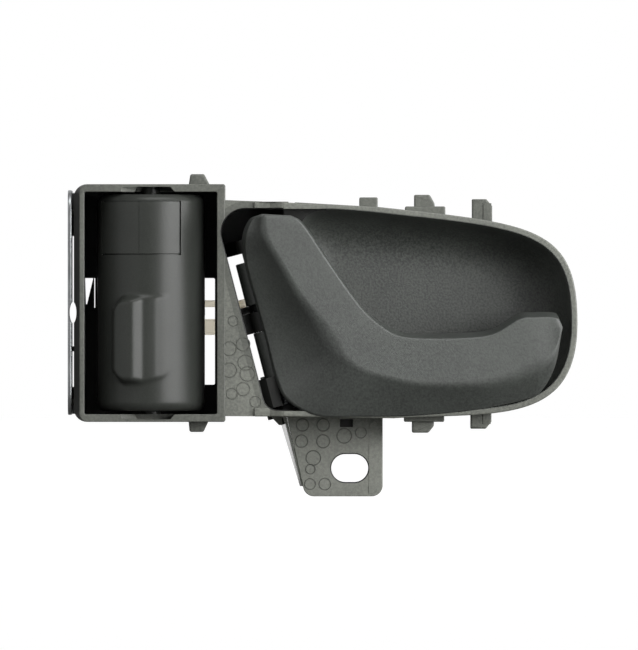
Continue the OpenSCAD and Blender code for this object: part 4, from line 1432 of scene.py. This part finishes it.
@dataclass
class HingeGear:
    """Pin and push nut, bushes, spring, bumpers, latch crank and its rod clip."""

    crank_low: float = 2.8
    crank_high: float = 4.8
    crank_reach: float = 28.0
    crank_turn: float = 14.0
    bush_inside: float = 1.56
    coil: float = 2.6
    coil_pitch: float = 1.25
    coil_turns: float = 4.5
    coil_top: float = -16.9
    wire: float = 0.4

    def tip(self) -> np.ndarray:
        """Where the crank carries its rod clip, about the hinge."""
        a = math.radians(self.crank_turn)
        return np.array([-self.crank_reach * math.sin(a), self.crank_reach * math.cos(a)])

    def build(self, finishes: Finishes) -> None:
        """Builds every piece on the hinge line."""
        pin = turned(
            [
                (1.1, -27.2), (1.5, -26.8), (1.5, -24.1), (1.38, -24.0),
                (1.38, -23.4), (1.5, -23.3), (1.5, 21.6), (1.1, 22),
            ]
        )
        made = Blank("hinge_pin_ground", pin.placed(HINGE.place), finishes.pin)
        dress(made.done(), Body.HOUSING, Slot.PIN, ["hinge_pin"])
        nut = turned([(2.7, -23.9), (3.0, -23.75), (3.0, -23.45), (2.7, -23.3)])
        keeper = Blank("pin_push_nut", nut.placed(HINGE.place), finishes.pin)
        slot = block((1.2, -0.25, -25), (2.2, 0.25, -22), 0.05)
        keeper.join(Join.CUT, HINGE.seat([rod(1.42, -25, -22, 0), slot]))
        dress(keeper.done(), Body.HOUSING, Slot.PIN, ["pin_retainer"])
        self.bushes(finishes)
        self.bumpers(finishes)
        self.spring(finishes)
        self.crank(finishes)

    def bushes(self, finishes: Finishes) -> None:
        """The two nylon bushes in the knuckles."""
        tubes = HINGE.seat(rod(LeverGrip.bush_bore, a, b, 0.15) for a, b in HINGE.knuckles)
        made = Blank("hinge_bush_pair", tubes[0], finishes.nylon).join(Join.ADD, tubes[1:])
        made.join(Join.CUT, HINGE.seat([rod(self.bush_inside, -30, 30, 0)]))
        dress(made.done(), Body.LEVER, Slot.NYLON, ["hinge_bushes"])

    def bumpers(self, finishes: Finishes) -> None:
        """The two rubber stops that the lever rests on."""
        stop = turned(
            [
                (0.9, -16), (1.2, -16.3), (1.2, -20), (2.2, -20),
                (2.2, -22.6), (1.95, -23.3), (1.3, -23.7), (0.4, -23.8),
            ],
            32,
        )
        made = set_fasteners("lever_stop_pair", stop.placed(facing), HINGE.stops(), finishes.rubber)
        dress(made, Body.HOUSING, Slot.RUBBER, ["lever_bumpers"])

    def spring(self, finishes: Finishes) -> None:
        """The torsion spring, wound round the pin with a straight leg at each end."""
        coil, pitch, top = self.coil, self.coil_pitch, self.coil_top
        foot = top - pitch * self.coil_turns
        sweep = np.linspace(0, self.coil_turns, 190)
        angle = np.pi + 2 * np.pi * sweep
        body = np.column_stack([coil * np.cos(angle), coil * np.sin(angle), top - pitch * sweep])
        start = np.column_stack([np.full(12, -coil), np.linspace(8, 0.4, 12), np.full(12, top)])
        end = np.column_stack([np.full(14, coil), np.linspace(0.4, 9.5, 14), np.full(14, foot)])
        path = HINGE.place(np.vstack([start, body, end]))
        line = points_object("return_spring_wire", path, True)
        made = wire_tree().grow(line, {"Wire radius": self.wire, "Finish": finishes.wire})
        dress(made, None, Slot.SPRING, ["return_spring"], 60)
        ends = HINGE.place(np.array([[0, 0, top - 0.6], [0, 0, foot + 0.6]])) * MM
        tuple(ends[0])
        tuple(ends[1])
        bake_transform(made)

    def crank(self, finishes: Finishes) -> None:
        """The pressed latch crank, its rivets and the rod clip at its tip."""
        tip = self.tip()
        low, high = self.crank_low, self.crank_high
        foot = rounded(
            [
                (1.6, -3, 0.1), (2.4, -4.6, 0.3), (4.7, -7.6, 0.3), (6.3, -9.4, 0.3), (8.4, -12.0, 0.4),
                (10.9, -12.7, 0.5), (10.7, -8, 0.8), (4, 0, 0.5), (0, 3, 0.3),
            ],
            3,
        )
        arm = slab(crank_arm(tip, 3.4, 2.6, 4.8), low, high, 0.3, 0.3)
        made = Blank("latch_crank_pressed", arm.placed(HINGE.place), finishes.black_steel)
        pads = [rod(4.8, low, high, 0.3).moved(*tip), rod(3.4, low, high, 0.3)]
        made.join(Join.ADD, HINGE.seat([slab(foot, low, high, 0.2, 0.2)] + pads))
        bores = [(0.0, 0.0, 1.57), (*tip, 3.05)] + [(*spot, 1.25) for spot in HINGE.crank_rivets]
        made.join(Join.CUT, HINGE.seat(rod(r, 0, 8, 0).moved(x, y) for x, y, r in bores))
        dress(made.done(), Body.LEVER, Slot.ZINC, ["latch_crank"])
        rivet = turned(
            [
                (0.5, 2.0), (1.2, 2.1), (1.6, 2.4), (1.7, 2.8), (1.25, 2.8),
                (1.25, 7.3), (1.7, 7.3), (1.6, 7.7), (1.2, 8.0), (0.5, 8.1),
            ],
            32,
        )
        spots = HINGE.place(np.array([(*spot, 0.0) for spot in HINGE.crank_rivets]))
        turn = (0, -math.radians(HINGE.lean), 0)
        pair = set_fasteners("latch_crank_rivet_pair", rivet, spots, finishes.zinc, turn)
        dress(pair, Body.LEVER, Slot.ZINC, ["latch_crank_rivets"])
        at = np.array([*tip, low])
        clip = rod_clip("latch_rod_clip_nylon", lambda p: HINGE.place(p + at), finishes)
        dress(clip, Body.LATCH_CLIP, Slot.NYLON, ["latch_rod_clip"])


def crank_arm(tip: np.ndarray, eye: float, half: float, end: float) -> np.ndarray:
    """Outline of a flat arm from an eye at the origin to its tip.

    Args:
        tip: Where the arm ends.
        eye: Radius of the eye it starts from.
        half: Half of the arm's width.
        end: Radius of the pad round the tip.

    Returns:
        The outline, which overlaps the eye and the pad.
    """
    u = tip / np.linalg.norm(tip)
    n = np.array([-u[1], u[0]])
    grip = min(half, end * 0.8)
    root = n * eye * 0.9
    points = [root, -root, u * 8 - n * half, tip - n * grip, tip + n * grip, u * 8 + n * half]
    return rounded([(*p, r) for p, r in zip(points, (0.5, 0.5, 6.0, 0.5, 0.5, 6.0))], 5)


def rod_clip(name: str, place: Mapper, finishes: Finishes) -> bpy.types.Object:
    """A swivelling rod clip, with its plate hole at the origin and its plate from 0 to 2.

    Args:
        name: Name of the piece.
        place: Where it goes.
        finishes: The finishes.

    Returns:
        The clip, in millimetres.
    """
    tongue = np.vstack(
        [
            arc((0, 0), 3.6, 90, 270, 20),
            [(3.2, -3.6)],
            arc((6.2, -2.3), 1.0, -90, 0, 5),
            arc((6.2, 2.3), 1.0, 0, 90, 5),
            [(3.2, 3.6)],
        ]
    )
    made = Blank(name, rod(3.0, -2, 4, 0.3).placed(place), finishes.nylon)
    parts = [
        rod(3.9, -0.9, -0.1, 0.2),
        rod(3.9, 2.1, 2.5, 0.1),
        slab(tongue, -5.3, -0.9, 0.5, 0.2),
        slab(tongue, 2.4, 4.3, 0.2, 0.4),
    ]
    made.join(Join.ADD, [p.placed(place) for p in parts])
    mouth = turned([(2.5, -6), (2.5, -5.3), (2.05, -4.7), (2.05, 3.8), (2.4, 4.3), (2.4, 5)])
    return made.join(Join.CUT, [mouth.placed(place)]).done()


# Lock knob


@dataclass
class LockKnob:
    """The lock knob with its panel, crank, screws, rod clip and detent."""

    x: float = LockBox.axis_x
    y: float = LockBox.axis_y
    radius: float = 14.8
    low: float = 15.8
    high: float = 75.4
    wall: float = 2.2
    roll: float = 2.4
    start: float = -130.0
    end: float = 95.0
    panel: tuple[float, float, float, float] = (-66.0, 34.0, 58.7, 73.6)
    pad: tuple = (
        (-10.55, -10.38, 0.1), (-10.45, -14.25, 0.9), (-5.45, -16.65, 0.9), (-2.4, -15.45, 1.8),
        (1.2, -15.3, 6.0), (6.2, -13.44, 4.0), (11.5, -9.32, 5.0), (0.0, 0.0, 0.1),
    )
    pad_low: tuple = ((-24, -8, 12, 24, 32), (23.4, 23.6, 24.9, 27.1, 29.5))
    pad_high: float = 47.5
    pad_corner: float = 3.2
    pad_ease: float = 0.42
    clip_at: tuple[float, float, float] = (10.6, 21.0, 42.0)
    decks: tuple = ((44.0, 46.5), (57.0, 61.0))
    pivots: tuple = ((13.0, 17.0), (74.2, 78.0))
    deck_inset: float = 1.0
    lid: float = 2.0
    lid_inset: float = 0.05
    hubs: tuple[float, float, float] = (8.0, 5.0, 2.5)
    recess: float = 0.9
    crank: tuple[float, float] = (42.0, 44.0)
    screws: tuple = ((-3.5, -4.5), (3.5, -4.5))
    notches: tuple[float, float] = (0.0, 36.0)
    notch_reach: float = 8.4
    leaf: tuple = (
        (-13.5, 15), (-13.5, 14.5), (-7.4, 14.5), (-1.25, 8.7), (-0.8, 7.5), (0, 7.05),
        (0.8, 7.5), (1.3, 8.9), (3.4, 10.4), (3.1, 10.9), (0.9, 9.5), (0.55, 8.1),
        (0, 7.55), (-0.55, 8.1), (-0.95, 9.3), (-7.1, 15),
    )

    def place(self, p: np.ndarray) -> np.ndarray:
        """Sends points drawn about the knob's axis to the part's frame."""
        return p + np.array([self.x, self.y, 0.0])

    def seat(self, solids: Iterable[Solid]) -> list[Solid]:
        """Solids drawn about the knob's axis, in the part's frame."""
        return [s.placed(self.place) for s in solids]

    def around(self, turn: np.ndarray, radius: np.ndarray | float) -> np.ndarray:
        """Points (x, y) about the axis at turns in degrees, 0 to the front and plus to the right."""
        a = np.radians(turn)
        return np.column_stack([radius * np.sin(a), -radius * np.cos(a)])

    def finger_pad(self, turn: np.ndarray, z: np.ndarray) -> np.ndarray:
        """Height of the finger ridge over the drum, with every edge eased.

        Args:
            turn: Even steps round the drum, in degrees.
            z: Even steps up the drum.

        Returns:
            One row of heights per step up.
        """
        outline = rounded(self.pad, 10)[:-11]
        way = np.degrees(np.arctan2(outline[:, 0], -outline[:, 1]))
        out = np.maximum(np.interp(turn, way, np.hypot(*outline.T), self.radius, self.radius), self.radius)
        plan = out - self.radius
        inside = np.clip(out * np.sin(np.radians(turn)) - self.pad[0][0], 0, self.pad_corner)
        cut = self.pad_corner - np.sqrt(self.pad_corner**2 - (self.pad_corner - inside) ** 2)
        low, high = np.interp(turn, *self.pad_low) + cut, self.pad_high - cut
        ramp = np.minimum((z[:, None] - low) * 3.5, (high - z[:, None]) * 2.2)
        lift = np.maximum(np.minimum(ramp, plan), 0)
        for axis, step in ((0, z[1] - z[0]), (1, math.radians(turn[1] - turn[0]) * self.radius)):
            reach = np.arange(-12, 13)
            weight = np.exp(-0.5 * (reach * step / self.pad_ease) ** 2)
            weight /= weight.sum()
            lift = np.apply_along_axis(np.convolve, axis, lift, weight, "same")
        return lift

    def drum(self) -> Solid:
        """The drum's wall with rolled ends and the finger ridge."""
        front, tall = np.linspace(-60, 60, 181), np.linspace(19, 52, 100)
        left, right = np.linspace(self.start, -60, 40)[:-1], np.linspace(60, self.end, 20)[1:]
        turn = np.concatenate([left, front, right])
        bulge = self.finger_pad(front, tall)
        curl = self.roll * (1 - np.cos(np.linspace(0, math.pi / 2, 9)))
        upper = np.linspace(56, self.high - self.roll, 5)[:-1]
        heights = np.concatenate([self.low + curl, tall, upper, (self.high - curl)[::-1]])
        inner = self.around(turn, self.radius - self.wall)[::-1]
        rings = []
        for z in heights:
            rim = max(0.0, self.low + self.roll - z, z - self.high + self.roll)
            fall = self.roll - math.sqrt(max(0.0, self.roll**2 - rim**2))
            skin = np.full(len(turn), self.radius - fall)
            if tall[0] <= z <= tall[-1]:
                skin[len(left) : len(left) + len(front)] += bulge[int(np.argmin(abs(tall - z)))]
            keep = np.maximum(skin, self.radius - self.wall + 0.15)
            rings.append(level(np.vstack([self.around(turn, keep), inner]), z))
        return loft(rings).placed(self.place)

    def sector(
        self,
        turns: tuple[float, float],
        radii: tuple[float, float],
        heights: tuple[float, float],
        edge: float = 0.0,
    ) -> Solid:
        """A piece of ring between two turns.

        Args:
            turns: First and last turn in degrees.
            radii: Inner and outer radius.
            heights: Low and high end.
            edge: Radius of its edges.

        Returns:
            The piece, in the part's frame.
        """
        turn = np.linspace(*turns, 60)
        outline = np.vstack([self.around(turn, radii[1]), self.around(turn[::-1], radii[0])])
        return slab(outline, *heights, edge, edge).placed(self.place)

    def build(self, finishes: Finishes) -> None:
        """Builds every piece of the lock."""
        made = Blank("lock_knob_drum", self.drum(), finishes.knob_plastic)
        low, high = self.low, self.high
        lids = ((low + self.lid_inset, low + self.lid), (high - self.lid, high - self.lid_inset))
        sweep = np.linspace(self.start, self.end, 90)
        inside: list[Solid] = []
        fans = (self.radius - self.deck_inset, self.radius - self.wall + 0.1)
        for radius, spans in zip(fans, (self.decks, lids)):
            fan = np.vstack([self.around(sweep, radius), [(0.0, 0.0)]])
            inside += [slab(fan, *span) for span in spans]
        for radius, spans, edge in zip(self.hubs, (self.decks, lids, self.pivots), (0.3, 0.3, 0.5)):
            inside += [rod(radius, *span, edge) for span in spans]
        made.join(Join.ADD, self.seat(inside))
        a, b, c, d = self.panel
        recess = self.sector((a, b), (self.radius - self.recess, self.radius + 2), (c, d))
        turns = [math.radians(turn) for turn in self.notches]
        spots = [self.notch_reach * np.array([math.sin(turn), math.cos(turn)]) for turn in turns]
        holes = [rod(1.7, 56, 62, 0).moved(*spot) for spot in spots]
        holes += [rod(1.25, 43, 48, 0).moved(*spot) for spot in self.screws]
        made.join(Join.CUT, [recess] + self.seat(holes))
        dress(made.done(), Body.LOCK, Slot.KNOB, ["lock_knob"], 40)
        plate = self.sector((a + 0.1, b - 1.6), (13.9, 14.72), (c + 0.35, d - 0.15), 0.1)
        panel = Blank("lock_panel", plate, finishes.panel_plastic)
        seam = self.sector((-13.0, -12.5), (14.6, 16), (c, d))
        dress(panel.join(Join.CUT, [seam]).done(), Body.LOCK, Slot.INDICATOR, ["lock_indicator"])
        self.linkage(finishes)
        self.detent(finishes)

    def linkage(self, finishes: Finishes) -> None:
        """The lock crank, its screws and the rod clip at its tip."""
        tip = np.array(self.clip_at[:2])
        low, high = self.crank
        made = Blank("lock_crank_pressed", rod(self.hubs[0], low, high).placed(self.place), finishes.zinc)
        arm = slab(crank_arm(tip, 6, 3, 4.2), low, high, 0.3, 0.3)
        made.join(Join.ADD, self.seat([arm, rod(4.2, low, high, 0.3).moved(*tip)]))
        holes = [rod(1.25, 40, 46, 0).moved(*spot) for spot in self.screws]
        made.join(Join.CUT, self.seat(holes + [rod(3.05, 40, 46, 0).moved(*tip)]))
        dress(made.done(), Body.LOCK, Slot.ZINC, ["lock_crank"])
        screw = turned(
            [(0.8, 40.6), (1.8, 40.75), (2.3, 41.3), (2.3, 42), (1.25, 42), (1.25, 47.1), (0.9, 47.5)], 32
        )
        places = self.place(np.array([(*spot, 0.0) for spot in self.screws]))
        pair = set_fasteners("lock_crank_screw_pair", screw, places, finishes.zinc)
        dress(pair, Body.LOCK, Slot.ZINC, ["lock_crank_screws"])
        at = self.place(np.array([self.clip_at]))[0]
        clip = rod_clip("lock_rod_clip_nylon", lambda p: p + at, finishes)
        dress(clip, Body.LOCK_CLIP, Slot.NYLON, ["lock_rod_clip"])

    def detent(self, finishes: Finishes) -> None:
        """The leaf spring that holds the knob's two places, and its screw."""
        strip = slab(np.array(self.leaf), 56.5, 60.5, 0.08, 0.08)
        made = Blank("lock_detent_leaf", strip.placed(self.place), finishes.wire)
        spot = LockBox.detent
        made.join(Join.CUT, [rod(1.0, 0, 4, 0).placed(facing).moved(*spot)])
        dress(made.done(), Body.HOUSING, Slot.SPRING, ["lock_detent_spring"], 40)
        screw = turned([(0.7, 0.2), (1.5, 0.3), (1.9, 0.7), (1.9, 1.5), (1.0, 1.5), (1.0, 7.6), (0.6, 8)], 32)
        cross = [
            block((-1.1, -0.2, -1), (1.1, 0.2, 0.7), 0.05),
            block((-0.2, -1.1, -1), (0.2, 1.1, 0.7), 0.05),
        ]
        made = Blank("detent_screw_pan", screw.placed(facing).moved(*spot), finishes.zinc)
        made.join(Join.CUT, [c.placed(facing).moved(*spot) for c in cross])
        dress(made.done(), Body.HOUSING, Slot.ZINC, ["detent_screw"])


# Studio


@dataclass
class Studio:
    """White floor, white room behind, three softboxes, a weak fill at the left and the camera."""

    floor_z: float = -7.9
    far: float = 7000.0
    aim: tuple[float, float, float] = (-8.47, -24.0, 39.46)
    view_height: float = 178.75
    sensor: float = 36.0
    sweep: tuple[float, float, float, float] = (0.3, 0.7, 0.06, 0.95)
    floor_reach: float = 6.0
    floor_white: float = 0.93
    floor_glow: tuple[float, float] = (20.0, 90.0)
    lamp_distance: float = 1.0
    lamps: tuple = (
        ("key_softbox", 44, 6, (0.8, 0.4), 13.5),
        ("side_softbox", 81, 12, (0.5, 0.5), 5.0),
        ("top_softbox", 15, 64, (0.9, 0.4), 6.0),
        ("left_fill", -52, 12, (1.0, 0.7), 2.4),
    )

    def build(self) -> None:
        """Sets the stage."""
        self.room()
        self.floor()
        for lamp in self.lamps:
            self.softbox(*lamp)
        camera = bpy.data.objects.new("camera", bpy.data.cameras.new("camera"))
        bpy.context.scene.collection.objects.link(camera)
        camera.location = Vector(self.aim) * MM - Vector((0, self.far * MM, 0))
        camera.rotation_euler = (math.pi / 2, 0, 0)
        camera.data.sensor_width = self.sensor
        camera.data.lens = self.sensor * self.far / self.view_height
        camera.data.clip_start, camera.data.clip_end = 0.1, 20
        bpy.context.scene.camera = camera
        bpy.context.scene.view_settings.view_transform = "Standard"

    def softbox(
        self, name: str, azimuth: float, elevation: float, size: tuple[float, float], watts: float
    ) -> None:
        """One soft lamp aimed at the handle.

        Args:
            name: Name of the lamp.
            azimuth: Degrees to the right of the camera.
            elevation: Degrees above the handle.
            size: Width and height in metres.
            watts: Its power.
        """
        lamp = bpy.data.lights.new(name, "AREA")
        lamp.shape, lamp.size, lamp.size_y, lamp.energy = "RECTANGLE", size[0], size[1], watts
        made = bpy.data.objects.new(name, lamp)
        bpy.context.scene.collection.objects.link(made)
        a, e = math.radians(azimuth), math.radians(elevation)
        way = Vector((math.sin(a) * math.cos(e), -math.cos(a) * math.cos(e), math.sin(e)))
        made.location = Vector(self.aim) * MM + way * self.lamp_distance
        made.rotation_euler = way.to_track_quat("Z", "Y").to_euler()

    @staticmethod
    def seen(tree: bpy.types.NodeTree) -> bpy.types.NodeSocket:
        """One where the camera looks, straight or through the nylon, and nothing elsewhere."""
        path = add_node(tree, "ShaderNodeLightPath").outputs
        rays = {0: path["Is Camera Ray"], 1: path["Is Transmission Ray"]}
        return add_node(tree, "ShaderNodeMath", rays, operation="MAXIMUM").outputs[0]

    def room(self) -> None:
        """A white sweep behind the handle, a dim room in front, and white for the eye all round."""
        world = bpy.data.worlds.new("white_room")
        bpy.context.scene.world = world
        world.use_nodes = True
        tree = world.node_tree
        place = add_node(tree, "ShaderNodeTexCoord").outputs["Generated"]
        depth = add_node(tree, "ShaderNodeSeparateXYZ", {0: place}).outputs["Y"]
        start, end, dim, bright = self.sweep
        sweep = add_node(
            tree, "ShaderNodeMapRange", {"Value": depth, 1: start, 2: end, 3: dim, 4: bright}
        ).outputs[0]
        strength = add_node(
            tree, "ShaderNodeMath", {0: sweep, 1: self.seen(tree)}, operation="MAXIMUM"
        ).outputs[0]
        tree.links.new(strength, tree.nodes["Background"].inputs["Strength"])
        tree.nodes["Background"].inputs["Color"].default_value = (1, 1, 1, 1)

    def floor(self) -> None:
        """A paper floor, white to the eye, that throws little light back on the handle."""
        mesh = bpy.data.meshes.new("paper_floor")
        reach, z = self.floor_reach, self.floor_z * MM
        corners = [(-reach, -reach, z), (reach, -reach, z), (reach, reach, z), (-reach, reach, z)]
        mesh.from_pydata(corners, [], [(0, 1, 2, 3)])
        made = bpy.data.objects.new("paper_floor", mesh)
        bpy.context.scene.collection.objects.link(made)
        paper, shader, place = new_finish("paper_matt_white")
        tree = paper.node_tree
        shader.inputs["Base Color"].default_value = linear("#6e6e6d")
        shader.inputs["Roughness"].default_value = 0.9
        shader.inputs["Specular IOR Level"].default_value = 0.1
        shader.inputs["Emission Color"].default_value = (1, 1, 1, 1)
        eye = add_node(
            tree, "ShaderNodeMath", {0: self.seen(tree), 1: self.floor_white}, operation="MULTIPLY"
        ).outputs[0]
        depth = add_node(tree, "ShaderNodeSeparateXYZ", {0: place}).outputs["Y"]
        near, far = self.floor_glow
        behind = add_node(
            tree,
            "ShaderNodeMapRange",
            {"Value": depth, 1: near * MM, 2: far * MM, 3: 0.0, 4: self.floor_white},
        ).outputs[0]
        glossy = add_node(tree, "ShaderNodeLightPath").outputs["Is Glossy Ray"]
        mirrored = add_node(tree, "ShaderNodeMath", {0: behind, 1: glossy}, operation="MULTIPLY").outputs[0]
        glow = add_node(tree, "ShaderNodeMath", {0: eye, 1: mirrored}, operation="MAXIMUM").outputs[0]
        tree.links.new(glow, shader.inputs["Emission Strength"])
        mesh.materials.append(paper)


def main() -> None:
    """Builds the handle piece by piece and sets the stage."""
    logging.basicConfig(level=logging.INFO, format="%(name)s: %(message)s")
    finishes = Finishes()
    for assembly in (HousingMoulding(), MountingBracket(), LeverGrip(), HingeGear(), LockKnob()):
        assembly.build(finishes)
    Studio().build()


if __name__ == "__main__":
    main()
